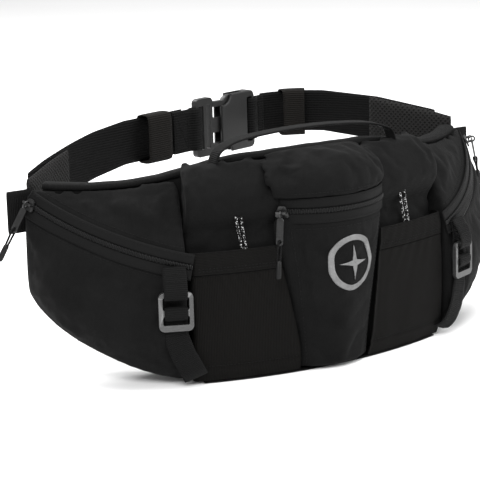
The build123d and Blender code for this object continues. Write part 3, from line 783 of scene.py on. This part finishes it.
def press_to(obj, rule):
    """Moves points by a rule of their own place."""
    co = coordinates(obj.data)
    for k, c in enumerate(co):
        co[k] = np.array(rule(Vector(c) * 1000)) * MM
    put_coordinates(obj.data, co)


def flared(p):
    share = clamp((p.y + 30) / 10) * clamp((-p.x - 20) / 15)
    return Vector((p.x - flare(p.z) * share, p.y, p.z))


def fuller(p):
    """The lid leans over the left gusset."""
    return Vector((p.x - 8.0 * clamp(-p.x / 48), p.y, p.z))


press_to(column, flared)
press_to(lid, fuller)
# cloth, how firmly each point is held, cap on its movement, pressure, slack
pads = [(body_cloth, seam_weights(body_cloth, main_seams, main_whole), 4.5, 3.0, 0.03)]
for side, _ in SIDES:
    pads.append((wings[side], seam_weights(wings[side], wing_seams(side), wing_whole(side)), 5.5, 4.0, 0.04))
pads.append((column, seam_weights(column, column_seams, column_whole), 4.5, 3.5, 0.04))
pads.append((lid, seam_weights(lid, lid_seams, lid_whole, 2.5, 10.0), 5.5, 5.0, 0.05))
inflate(pads)

def crumple(obj, weights, size, amount):
    """Shallow creases that fade out at the seams."""
    co = coordinates(obj.data)
    normals = np.zeros(len(obj.data.vertices) * 3, np.float32)
    obj.data.vertices.foreach_get("normal", normals)
    normals = normals.reshape(-1, 3)
    for k, c in enumerate(co):
        free = 1 - weights[k] * 0.8
        p = Vector(c) * 1000 / size
        crease = noise_at(Vector((p.x + 0.6 * noise_at(p), p.y * 0.8, p.z * 0.55)))
        co[k] = c + normals[k] * (amount * MM * free * crease)
    put_coordinates(obj.data, co)


def clear_of_seam(side, nearest=20.85):
    """Rule that keeps a wing pocket on its own side of the seam beside it."""
    def rule(p):
        angle = angle_of(p) * side
        if angle >= nearest:
            return p
        flat = Vector((p.x, p.y - WAIST_Y, 0))
        flat.rotate(Quaternion(UP, radians((nearest - angle) * side)))
        return Vector((flat.x, flat.y + WAIST_Y, p.z))
    return rule


for obj, weights, *_ in pads:
    crumple(obj, weights, 9.0, 0.55)
seat_zip(body_cloth, 0, 10.6)
for side, _ in SIDES:
    seat_zip(wings[side], side)
    press_to(wings[side], clear_of_seam(side))
soft = {"main_compartment": body_cloth, "wing_pocket_left": wings[-1], "wing_pocket_right": wings[1],
        "centre_pocket": column, "centre_lid": lid}
for node, obj in soft.items():
    subdivided(obj)
    wrap_uvs(obj)
    place(obj, "root", [node], "body_fabric")
TREES = {node: surface_of(obj) for node, obj in soft.items()}

# --- zips ------------------------------------------------------------------------------------
# places across a tooth of the coil, and its radius there
TOOTH = ((-1.75, 0.25), (-1.5, 0.55), (-0.4, 0.62), (0.4, 0.62), (1.5, 0.55), (1.75, 0.25))
for side, name in ZIP_NAMES.items():
    sweep = TRACKS[side]["sweep"]
    angles = np.linspace(0, sweep, 61 if side else 49)
    across = [(track_point(side, a, 1, 0)[0] - track_point(side, a, 0, 0)[0]).normalized() for a in angles]
    for half, label in ((-1, "lower"), (1, "upper")):
        path = [track_point(side, a, half * 6.1, 0.0)[0] for a in angles]
        tape = ribbon(f"zip_tape_{name}_{label}", path, [v * half for v in across], 8.3, 0.9, M_TAPE, 7)
        place(tape, "root", [f"zip_tape_{name}"], "zip_tape")
        stitches(f"zip_stitch_{name}_{label}", [[track_point(side, a, half * 8.4, 0.45) for a in angles]],
                 2.8, 1.9, 0.22)
    points, faces = [], []
    count = int(abs(radians(sweep)) * TRACKS[side]["radius"] / 1.35)
    for k in range(count):
        a = sweep * (k + 0.5) / count
        shift = 0.3 if k % 2 else -0.3
        middle, off = track_point(side, a, 0, 0)
        ahead = (track_point(side, a + 0.2, 0, 0)[0] - middle).normalized()
        rings = [(track_point(side, a, f + shift, 0.75)[0], r, r * 1.15) for f, r in TOOTH]
        add_bar(points, faces, rings, -ahead, off, 8)
    place(make(f"zip_teeth_{name}", points, faces, M_COIL), "root", [f"zip_coil_{name}"], "zip_coil")
    path = [track_point(side, a, 0, -0.1)[0] for a in angles]
    place(ribbon(f"zip_core_{name}", path, across, 3.6, 0.7, M_TAPE, 5), "root")

# --- stretch side pockets --------------------------------------------------------------------
POCKET_OUT = [(2, 33.0), (12, 36.4), (25, 37.6), (40, 38.0), (65, 38.0), (88, 36.9), (97, 36.5), (106, 35.6)]
POCKET_END = 20.4
HEM_BOTTOM, HEM_TOP = 88.5, 106.0


def pocket_plan(side, z, outer, corner=4.0, back=24.8):
    """Plan of a side pocket's outside at a height, from the centre column round to the bag's front."""
    half = column_half(z) + 0.9 + (flare(z) if side < 0 else 0.0)
    first = degrees(asin(half / (BACK_RADIUS + outer)))
    bend = degrees(corner / (BACK_RADIUS + outer))
    run = [(a, outer) for a in np.linspace(first, POCKET_END - bend, 34)]
    for k in range(1, 7):
        turn = radians(15 * k)
        run.append((POCKET_END - bend * (1 - sin(turn)), outer - corner * (1 - cos(turn))))
    run += [(POCKET_END, d) for d in np.linspace(outer - corner, back, 5)[1:]]
    return [(side * a, d) for a, d in run]


def pocket_sheet(name, side, heights, outer, thickness, shape, material):
    """Closed skin of a side pocket; shape(angle, height, share along) moves it off its plan."""
    points, uvs = [], []
    for layer in (0.0, thickness):
        for z in heights:
            plan = pocket_plan(side, z, lerp_table(outer, z) - layer)
            for k, (a, d) in enumerate(plan):
                points.append(waist(a, d + shape(a * side, z, k / (len(plan) - 1)), z))
                uvs.append((radians(a) * TEX_RADIUS, z * MM))
    grid, rim = skin_faces(len(heights), len(plan))
    faces = turned(grid) + rim if side > 0 else grid + turned(rim)
    return make(name, points, faces, material, uvs)


def stretch(angle, z, share):
    """Puckers under the hem and above the bottom seam, and a slight pull inwards between them."""
    if share > 0.78:
        return 0.0
    fade = sin(pi * min(share / 0.78, 1.0)) ** 0.6
    near_edges = 0.5 * exp(-(88.5 - z) / 16) + 0.25 * exp(-(z - 2) / 12)
    pucker = sin(angle * 13.0 + 1.3 * sin(z * 0.07)) * near_edges
    slack = 0.5 * noise_at(Vector((angle * 0.55, z * 0.045, 2.0)))
    seam = -0.9 * exp(-((z - 13.5) / 1.1) ** 2)
    return fade * (pucker + slack - 0.5 * sin(pi * z / 88.5)) + seam


def hem_shape(angle, z, share):
    fade = 1.0 if share < 0.8 else 0.0
    roll = 0.5 * (1 - ((z - 97.25) / 8.75) ** 2)
    return fade * (roll + 0.22 * sin(angle * 13.0 + 0.6) - 0.35 * exp(-((z - 91.5) / 0.8) ** 2))


def sewn_round(side, z, outer, shape):
    """Run of a seam round a side pocket at one height."""
    return [(waist(a, lerp_table(outer, z) + shape(a * side, z, 0.3), z), outward(a))
            for a, _ in pocket_plan(side, z, lerp_table(outer, z))[1:34]]


HEM_OUT = [(HEM_BOTTOM, 37.2), (97, 36.7), (HEM_TOP, 35.7)]
CORD_RADIUS = 1.1
for side, name in SIDES:
    cloth = pocket_sheet(f"mesh_pocket_{name}_cloth", side, np.linspace(2.0, 88.0, 44), POCKET_OUT, 1.2,
                         stretch, M_MESH)
    place(cloth, "root", [f"mesh_pocket_{name}"], "stretch_mesh")
    hem = pocket_sheet(f"pocket_hem_{name}_fold", side, np.linspace(HEM_BOTTOM, HEM_TOP, 15), HEM_OUT, 2.0,
                       hem_shape, M_HEM)
    place(hem, "root", [f"pocket_hem_{name}"], "stretch_mesh")
    rows = [sewn_round(side, z, HEM_OUT, hem_shape) for z in (91.5, 93.6)]
    rows.append(sewn_round(side, 14.6, POCKET_OUT, stretch))
    stitches(f"pocket_stitch_{name}", rows, 2.9, 2.0, 0.24)
    for strand, shift in enumerate((-1.4, 1.4)):
        top = waist(side * 13.2, 31.2, 128.8)
        route = [top + Vector((shift * spread + lean, depth, down)) for spread, lean, depth, down in (
            (1.6, -2.6, 1.0, 3.0), (1.5, -1.8, 0.9, -5.0), (1.4, -0.4, 0.3, -14.0), (1.3, 0.8, -0.5, -23.0),
            (1.3, 1.2, -1.0, -30.0))]
        cord = free_cord(f"reflective_cord_{name}_{strand}", route, CORD_RADIUS, M_FLECK)
        place(cord, "root", [f"reflective_cord_{name}"], "reflective_cord")

# --- back, binding and base ------------------------------------------------------------------
BACK_LOW = symmetric([(213, 72), (200, 55), (182, 37), (160, 20.5), (135, 8), (112, 2.2)])
BACK_HIGH = symmetric([(213, 156), (176, 153), (136, 155), (104, 162), (70, 169.5), (0, 171.5)])
BACK_ANGLE = 40.5
CHANNELS = (-27, -9, 9, 27)
DEGREE = 5.3              # millimetres round the back in one degree


def smooth_high(x):
    """Top edge of the back, rounded between its corners."""
    return sum(lerp_table(BACK_HIGH, x + d) for d in (-14, -7, 0, 7, 14)) / 5


def curved_sheet(name, half_angle, columns, rows, place_at, material):
    """Closed sheet round the waist axis; place_at(layer, angle, share) gives a point and its weave length."""
    points, uvs = [], []
    for layer in (0, 1):
        for a in np.linspace(-half_angle, half_angle, columns):
            for share in np.linspace(0, 1, rows):
                point, length = place_at(layer, a, share)
                points.append(point)
                uvs.append((radians(a) * TEX_RADIUS, length * MM))
    grid, rim = skin_faces(columns, rows)
    return make(name, points, grid + rim, material, uvs)


def back_slab(name, front, rear, material, bulge, columns=97, rows=35, rim=1.6):
    """Curved panel between two depths; bulge(angle, share up, height) lifts its rear face."""
    def place_at(layer, a, t):
        depth = rear if layer else front
        x = (BACK_RADIUS + depth) * sin(radians(a))
        low, high = lerp_table(BACK_LOW, x) + 0.3, smooth_high(x) - 0.3
        z = low + (high - low) * t
        edge = min(min(t, 1 - t) * (high - low), (BACK_ANGLE - abs(a)) * DEGREE)
        soften = max(0.0, 1 - edge / rim) ** 2 * 0.9
        return waist(a, depth + soften - bulge(a, t, z) if layer else depth - soften, z), z
    return curved_sheet(name, BACK_ANGLE, columns, rows, place_at, material)


def channels(angle, share, z):
    """Sewn channels down the back: pads swell between them."""
    near = min(min(abs(angle - x) for x in CHANNELS) * DEGREE, share * 150, (1 - share) * 150,
               (BACK_ANGLE - abs(angle)) * DEGREE, abs(z - 96) if abs(angle) < 9 else 99)
    return 2.6 * (1 - exp(-near / 7.0)) - 0.4


foam = back_slab("back_foam_cover", -0.5, -9.5, M_FOAM, lambda a, t, z: 0.0, 81, 25, 3.0)
place(foam, "root", ["back_foam"], "foam")
panel = back_slab("back_panel_mesh", -9.9, -12.9, M_SPACER, channels)
place(panel, "root", ["back_panel"], "spacer_mesh")
rows = []
for line in CHANNELS:
    x = (BACK_RADIUS - 13) * sin(radians(line))
    rows.append([(waist(line, -12.75, z), -outward(line))
                 for z in np.linspace(lerp_table(BACK_LOW, x) + 5, smooth_high(x) - 5, 60)])
stitches("back_stitch", rows, 3.6, 2.5, 0.3)


def back_top(a):
    """Height of the back's top edge at an angle, in the middle of its thickness."""
    return smooth_high((BACK_RADIUS - 6.5) * sin(radians(a)))


# binding folded over the top edge of the back: depth, and height above the edge
profile = [(0.35, -1.2), (0.4, 1.0), (-0.6, 2.6), (-6.5, 3.2), (-12.4, 2.6), (-14.3, 1.0), (-14.6, -6.5),
           (-13.9, -6.6), (-13.4, 0.3), (-12.0, 1.4), (-6.5, 1.9), (-1.0, 1.4), (-0.5, -1.2)]
travelled = lengths([Vector(p) for p in profile])
points, uvs = [], []
binding_angles = np.linspace(-BACK_ANGLE, BACK_ANGLE, 161)
for a in binding_angles:
    for (d, up), along in zip(profile, travelled):
        wave = 0.25 * noise_at(Vector((a * 0.7, up * 0.2, 1.0)))
        points.append(waist(a, d, back_top(a) + up + wave))
        uvs.append((radians(a) * TEX_RADIUS, along * MM))
ring = len(profile)
faces = turned(strip_faces(len(binding_angles), ring))
faces += [tuple(range(ring)), tuple(range(len(points) - ring, len(points)))[::-1]]
place(make("top_binding_tape", points, faces, M_BINDING, uvs), "root", ["top_binding"], "binding_tape")
rows = [[(waist(a, -14.5, back_top(a) - 4.2), -outward(a))
         for a in np.linspace(-BACK_ANGLE + 0.5, BACK_ANGLE - 0.5, 120)]]
stitches("binding_stitch", rows, 3.0, 2.1, 0.25)


def base_at(layer, a, share):
    """Place on the base panel, whose edge curls up."""
    d = 0.8 + 32.9 * share
    edge = min(min(share, 1 - share) * 33, (19 - abs(a)) * 5.6)
    curl = 0.55 * max(0.0, 1 - edge / 3.0) ** 2
    return waist(a, d, 1.5 - curl * 0.4 if layer else curl), d


place(curved_sheet("base_panel_cloth", 19.0, 61, 13, base_at, M_BASE), "root", ["base_panel"], "base_fabric")

# --- belt ------------------------------------------------------------------------------------
TURN = radians(16.0)
ALONG = Vector((cos(TURN), sin(TURN), 0))
BEHIND = Vector((-sin(TURN), cos(TURN), 0))
BUCKLE = Vector((36, 205, 162))
BUCKLE_FOOT = BUCKLE.xy.to_3d()
EAR = {"left": Vector((-213, 92, 0)), "right": Vector((213, 92, 0))}
CORNER = {"left": BUCKLE_FOOT - ALONG * 188.7, "right": BUCKLE_FOOT + ALONG * 84.9}
BEND = {"left": 200.0, "right": 58.0}
BELT_EDGES = {
    "left": ([(-226, 100), (-199, 117), (-154, 127), (-110, 137), (-76, 142.5), (60, 143)],
             [(-226, 158), (-199, 161), (-154, 168), (-110, 176.5), (-76, 180.5), (60, 181)]),
    "right": ([(20, 143), (138, 143), (168, 137), (197, 121), (226, 100)],
              [(20, 181), (115, 181), (138, 180.8), (168, 177), (197, 168), (226, 156)]),
}


def rounded_route(first, corner, last, radius):
    """Two straight runs with an arc between them, in plan."""
    a, b = (first - corner).normalized(), (last - corner).normalized()
    half = a.angle(b) / 2
    centre = corner + (a + b).normalized() * (radius / sin(half))
    cut = radius / (sin(half) / cos(half))
    u, v = corner + a * cut - centre, corner + b * cut - centre
    sweep = u.angle(v)
    arc = [centre + (u * sin((1 - t) * sweep) + v * sin(t * sweep)) / sin(sweep)
           for t in np.linspace(0, 1, 40)]
    return resample([first, *arc, last], 2.0)


ROUTES = {"left": rounded_route(EAR["left"], CORNER["left"], BUCKLE_FOOT, BEND["left"]),
          "right": rounded_route(BUCKLE_FOOT, CORNER["right"], EAR["right"], BEND["right"])}
LEFT_END, RIGHT_END = (lengths(ROUTES[name])[-1] for _, name in SIDES)


def belt_point(name, s, aside, z):
    """Point of a belt half at a distance from its left end, offset behind the belt's middle."""
    route = ROUTES[name]
    step = (LEFT_END if name == "left" else RIGHT_END) / (len(route) - 1)
    k = clamp(int(s / step), 0, len(route) - 2)
    t = s / step - k
    heading = (route[k + 1] - route[k]).normalized()
    if 0 < k and k + 2 < len(route):
        before, after = (route[k] - route[k - 1]).normalized(), (route[k + 2] - route[k + 1]).normalized()
        heading = before.lerp(heading, 0.5 + t / 2) if t < 0.5 else heading.lerp(after, t - 0.5)
        heading.normalize()
    p = route[k].lerp(route[k + 1], t)
    across = Vector((-heading.y, heading.x, 0))
    return Vector((p.x + across.x * aside, p.y + across.y * aside, z))


def belt_piece(name, label, start, stop, aside, thickness, material, columns, swell, inset):
    """Strap or pad that follows the belt, between its edges; a pad swells away from its own edges."""
    count = int((stop - start) / 2.5) + 1
    outline = section(columns, 1.0)
    points, uvs = [], []
    for share in np.linspace(0, 1, count):
        s = start + (stop - start) * share
        x = belt_point(name, s, 0, 0).x
        bottom, top = (lerp_table(edge, x) for edge in BELT_EDGES[name])
        middle, tall = (bottom + top) / 2, top - bottom - 2 * inset
        for w, lift in outline:
            full = thickness
            if swell:
                edge = min((0.5 - abs(w)) * tall, share * (stop - start), (1 - share) * (stop - start))
                full = thickness * (0.35 + 0.65 * (1 - exp(-max(edge, 0) / swell)))
            z = middle + w * tall
            selvedge = 0.12 if not swell and 0.4 < abs(w) < 0.499 else 0.0
            points.append(belt_point(name, s, aside + lift * full + (selvedge if lift > 0 else -selvedge), z))
            uvs.append((s * MM, z * MM))
    return make(label, points, turned(strap_faces(count, len(outline))), material, uvs)


# where each pad, strap and keeper starts and stops along its half of the belt
PAD_SPAN = {"left": (7.0, 84.0), "right": (RIGHT_END - 84.0, RIGHT_END - 7.0)}
WEB_SPAN = {"left": (24.0, LEFT_END - 47.0), "right": (54.0, RIGHT_END - 24.0)}
KEEPER_SPAN = {"left": (LEFT_END - 99.0, LEFT_END - 71.0), "right": (72.0, 94.0)}


def keeper_loop(name, columns=10, turns=48):
    """Loop of ribbed elastic round the webbing, following the belt's bend."""
    first, last = KEEPER_SPAN[name]
    ring, points, uvs = [], [], []
    for k in range(turns):
        c, s = cos(2 * pi * k / turns), sin(2 * pi * k / turns)
        ring.append((Vector((1.4 + 7.5 * (abs(c) ** 0.45) * (1 if c > 0 else -1),
                             BELT_TOP - WEBBING / 2 + 20.8 * (abs(s) ** 0.3) * (1 if s > 0 else -1))), c, s))
    for (at, c, s), along in zip(ring, lengths([at for at, _, _ in ring])):
        for lift, order in ((0.5, 1), (-0.5, -1)):
            for k in range(columns)[::order]:
                share = k / (columns - 1)
                thin = 0.5 if k in (0, columns - 1) else 1.0
                shift = lift * thin * (1.0 + 0.12 * sin(share * pi))
                ahead = (last - first) * share
                points.append(belt_point(name, first + ahead, at.x + c * shift, at.y + s * shift))
                uvs.append((ahead * MM, along * MM))
    return make(f"belt_keeper_{name}_elastic", points, strip_faces(turns, 2 * columns, True), M_ELASTIC, uvs)


for side, name in SIDES:
    pad = belt_piece(name, f"belt_pad_{name}_mesh", *PAD_SPAN[name], 0.0, 6.4, M_SPACER, 15, 5.0, 0.3)
    place(pad, "root", [f"belt_pad_{name}"], "spacer_mesh")
    web = belt_piece(name, f"belt_webbing_{name}_strap", *WEB_SPAN[name], 6.2, 1.5, M_WEBBING, 13, 0.0, 0.1)
    place(web, "root", [f"belt_webbing_{name}"], "webbing")
    place(keeper_loop(name), f"belt_keeper_{name}", [f"belt_keeper_{name}"], "elastic")


def fold_point(along, aside, z=0.0):
    return BUCKLE + ALONG * along + BEHIND * aside + Vector((0, 0, z))


# body, half of the fold's route behind and along the buckle, and the ends of its sewn box
FOLDS = {
    "left": ("buckle_plug", [(1.0, -64), (1.0, -54), (1.0, -44), (4.0, -39), (4.2, -34), (2.6, -30.6),
                             (0, -29.6)], (-61.5, -46.5)),
    "right": ("root", [(1.0, 52), (1.0, 44), (5.2, 39), (7.0, 33), (5.2, 30), (0, 28.9)], (45.2, 50.8)),
}
BOX = 16.5
for name, (body, half, (near, far)) in FOLDS.items():
    path = curve_through([fold_point(along, aside) for aside, along in symmetric(half)], 1.0)
    fold = ribbon(f"webbing_fold_{name}_loop", path, UP, 37.2, 1.5, M_WEBBING, 13)
    place(fold, body, [f"webbing_fold_{name}"], "webbing")
    lines = [((near, -BOX), (near, BOX)), ((far, -BOX), (far, BOX)), ((near, -BOX), (far, -BOX)),
             ((near, BOX), (far, BOX))]
    if name == "left":
        lines += [((near, -BOX), (far, BOX)), ((near, BOX), (far, -BOX))]
    rows = [[(fold_point(a, face * 1.75, z), BEHIND * face) for a, z in line]
            for face in (-1, 1) for line in lines]
    stitches(f"fold_stitch_{name}", rows, 2.6, 1.9, 0.25, body)

# --- hooks' webbing --------------------------------------------------------------------------
# how far ahead of the hook's middle plane the webbing passes, and at what height
HOOK_ANGLE = 22.7
HOOK_LOOP = ((-6.5, 98), (-4.4, 91), (-3.7, 84), (-3.6, 77.5), (-2.2, 74.6), (0, 73.9), (2.2, 74.6),
             (3.6, 77.5), (3.5, 83), (1.0, 90), (-2.6, 95), (-5.0, 99))
STRAP_RISE = ((-8.5, 7.5), (-5.0, 8.5), (-1.6, 12), (0.8, 17), (2.3, 25), (2.5, 33))
STRAP_WRAP = ((-2.9, 45), (-3.0, 55), (-2.9, 64), (-2.2, 66.6), (0, 67.5), (2.2, 66.6), (2.9, 63.5),
              (2.5, 60.5), (0.8, 58.6), (-0.8, 57.4))
for side, name in SIDES:
    out = outward(side * HOOK_ANGLE)
    level = UP.cross(out)

    def hook_point(ahead, z, aside=0.0):
        return waist(side * HOOK_ANGLE, 48.0 + ahead, z) + level * aside

    path = curve_through([hook_point(a, z) for a, z in HOOK_LOOP], 1.0)
    loop = ribbon(f"hook_loop_{name}_webbing", path, level, 18.4, 1.1, M_NARROW)
    place(loop, "root", [f"hook_loop_{name}"], "webbing")
    # the compression strap: up from under the pack, behind the hook and over its middle bar
    foot = waist(side * 19.6, 43.0, 0)
    rising = (waist(side * HOOK_ANGLE, 43.0, 39.0) - foot).normalized()
    lean = outward(side * 21.0)
    path = curve_through([foot + lean * a + rising * up for a, up in STRAP_RISE]
                         + [hook_point(a, z) for a, z in STRAP_WRAP], 1.2)
    widths = [19.6 - 1.4 * clamp((p.z - 38) / 8) for p in path]
    low_across = UP.cross(lean)
    low_across -= rising * low_across.dot(rising)
    across = [low_across.lerp(level, clamp(p.z / 39.0)).normalized() for p in path]
    strap = ribbon(f"compression_strap_{name}_webbing", path, across, widths, 1.3, M_NARROW)
    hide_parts(f"compression_strap_{name}", f"hook_wrap_{name}")
    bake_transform(strap)
    rows = [[(hook_point(a, z, w), out) for w in (-7, 7)] for a, z in ((0.2, 94.5), (2.6, 88.5))]
    stitches(f"hook_stitch_{name}", rows, 2.4, 1.7, 0.22)

# --- handle, tabs, pull cords ----------------------------------------------------------------
arch = symmetric([(86, 166), (84.5, 172.5), (80, 179.2), (62, 184.6), (30, 187.6), (0, 188.4)])
path = curve_through([Vector((x, 21 if abs(x) < 80 else 17.5, z)) for x, z in arch], 2.0)
handle = ribbon("haul_handle_webbing", path, REAR, 13.6, 1.8, M_NARROW)
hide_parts("haul_handle")
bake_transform(handle)

for side, name in SIDES:
    route = [(205, 100), (212, 98.4), (219, 98.6), (224.6, 98.2), (225.8, 97.5), (224.6, 96.8), (219, 96.4),
             (212, 96.6), (205, 95)]
    path = curve_through([Vector((side * x, y, 135)) for x, y in route], 1.0)
    tab = ribbon(f"side_tab_{name}_webbing", path, UP, 33.6, 1.1, M_NARROW, 11)
    place(tab, "root", [f"side_tab_{name}"], "webbing")
    rows = [[(Vector((side * 217.5, 97.5 + f * 1.6, z)), REAR * f) for z in (121, 149)] for f in (-1, 1)]
    stitches(f"tab_stitch_{name}", rows, 2.6, 1.9, 0.24)

# distance down the pull: half of the loop's route, and the grip's radius
LOOP = ((39.5, 0.95, 0.0), (34.5, 1.15, 0.0), (30.0, 1.15, 0.2), (26.5, 1.0, 0.8), (23.6, 0.6, 1.5),
        (21.6, 0.2, 1.4))
GRIP = ((37, 1.7), (38, 2.15), (42, 2.25), (48, 2.35), (50.6, 2.1), (51.2, 1.3))
for side, name in ZIP_NAMES.items():
    parked = side * 40.5 if side else 2.5
    pivot, off = track_point(side, parked, 0.0, 7.4)
    _, out, up = track_frame(side, parked)
    along = up.cross(out).normalized()
    drop = -UP + Vector((off.x, off.y, 0)).normalized() * 0.24
    drop = (drop - along * drop.dot(along)).normalized()
    face = along.cross(drop).normalized()

    def pull(down, aside=0.0, ahead=0.0):
        return pivot + drop * down + along * aside + face * ahead

    # a loop of cord through the tab's hole, with both ends in a moulded grip
    route = [pull(*p) for p in LOOP] + [pull(d, -a, -f) for d, a, f in reversed(LOOP)]
    cord = free_cord(f"pull_cord_{name}_loop", route, 0.85, M_CORD)
    place(cord, f"zip_puller_{name}", [f"pull_cord_{name}"], "pull_cord")
    points, faces = [], []
    add_bar(points, faces, [(pull(d), r, r) for d, r in GRIP], face, along, 14)
    grip = place(make(f"pull_grip_{name}", points, faces, M_RUBBER), f"zip_puller_{name}")


# --- seams laid on the finished cloth --------------------------------------------------------
def sewn_across(node, z):
    """Run of a seam across the front of the centre pocket or its lid."""
    return laid(TREES[node], [Vector((x, -40, z)) for x in np.linspace(-43, 43, 60)], REAR, 40)


for side, name in SIDES:
    rows = []
    angles = np.linspace(0.04, 0.96, 70) * TRACKS[side]["sweep"]
    for across in (12.6, -12.6):
        line = [track_point(side, a, across, 3.0)[0] for a in angles]
        rows.append(laid(TREES[f"wing_pocket_{name}"], line, inward, 14))
    stitches(f"wing_stitch_{name}", [r for r in rows if len(r) > 3], 3.2, 2.3, 0.26)
    line = [Vector((side * (column_half(z) - 4.5), -30, z)) for z in np.linspace(6, 117, 90)]
    stitches(f"column_stitch_{name}", [laid(TREES["centre_pocket"], line, REAR, 40)], 3.2, 2.3, 0.26)
stitches("lid_stitch", [sewn_across("centre_lid", 147.5)], 3.2, 2.3, 0.26)
stitches("neck_stitch", [sewn_across("centre_pocket", 118.5)], 3.2, 2.3, 0.26)

PRINT_X, PRINT_Z = 5.5, 88.0


def cloth_depth(tree, x, z, spread=3.2):
    """Depth of the cloth's front at a place, evened over what lies round it."""
    places = [(x + spread * i, z + spread * j) for i in (-1, 0, 1) for j in (-1, 0, 1)]
    hits = [tree.ray_cast(Vector((u, -60, v)), REAR, 80)[0] for u, v in places]
    depths = [hit.y for hit in hits if hit]
    return min(hits[4].y, sum(depths) / len(depths))


def printed(name, outline_in, outline_out, steps, rings):
    """Thin reflective print between two outlines about a centre, laid on the centre pocket's cloth."""
    points = []
    layers = [(0.8, r) for r in range(rings + 1)] + [(-0.5, r) for r in range(rings, -1, -1)]
    for lift, r in layers:
        for s in range(steps):
            a = 2 * pi * s / steps
            reach = outline_in(a) + (outline_out(a) - outline_in(a)) * r / rings
            x, z = PRINT_X + reach * cos(a), PRINT_Z + reach * sin(a)
            points.append(Vector((x, cloth_depth(TREES["centre_pocket"], x, z) - lift, z)))
    faces = turned(strip_faces(len(layers), steps, True))
    return make(name, points, faces, M_PRINT, [(p.x * MM, p.z * MM) for p in points])


def star(a):
    """Outline of a four-pointed star."""
    turn = abs(((a + pi / 4) % (pi / 2)) - pi / 4) / (pi / 4)
    return 14.0 / (1 + 3.6 * turn ** 0.8)


place(printed("emblem_ring", lambda a: 18.0, lambda a: 22.5, 120, 4), "root", ["emblem"], "reflective_print")
place(printed("emblem_star", lambda a: 0.15, star, 96, 5), "root", slot="reflective_print")

# --- carried-over hardware -------------------------------------------------------------------
HARDWARE = {M_PLASTIC: ["buckle_plug", "buckle_socket", "plug_arm_upper", "plug_arm_lower"],
            M_METAL: ["g_hook_left", "g_hook_right"],
            M_ZINC: [f"zip_{kind}_{n}" for kind in ("slider", "puller") for n in ZIP_NAMES.values()]}
for material, names in HARDWARE.items():
    for node in names:
        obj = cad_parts[node]
        obj.data.materials.clear()
        obj.data.materials.append(material)
        weld = obj.modifiers.new("weld", "WELD")
        weld.merge_threshold = 0.00002
        bevel = obj.modifiers.new("bevel", "BEVEL")
        bevel.width = 0.0005 if material is not M_ZINC else 0.0002
        bevel.segments = 3
        bevel.limit_method = "ANGLE"
        bevel.angle_limit = radians(38)
        bevel.use_clamp_overlap = True

# --- floor -----------------------------------------------------------------------------------
M_FLOOR = Nodes("studio_floor", 0.9, shine=0.1)
M_FLOOR.colour(M_FLOOR.ramp(M_FLOOR.noise(M_FLOOR.coordinates(False), 0.8), grey(0.86), grey(0.90)))
FLOOR = 6000
corners = [Vector((x * FLOOR, y * FLOOR, 0)) for x, y in ((-1, -1), (1, -1), (1, 1), (-1, 1))]
make("studio_floor", corners, [(0, 1, 2, 3)], M_FLOOR.material)
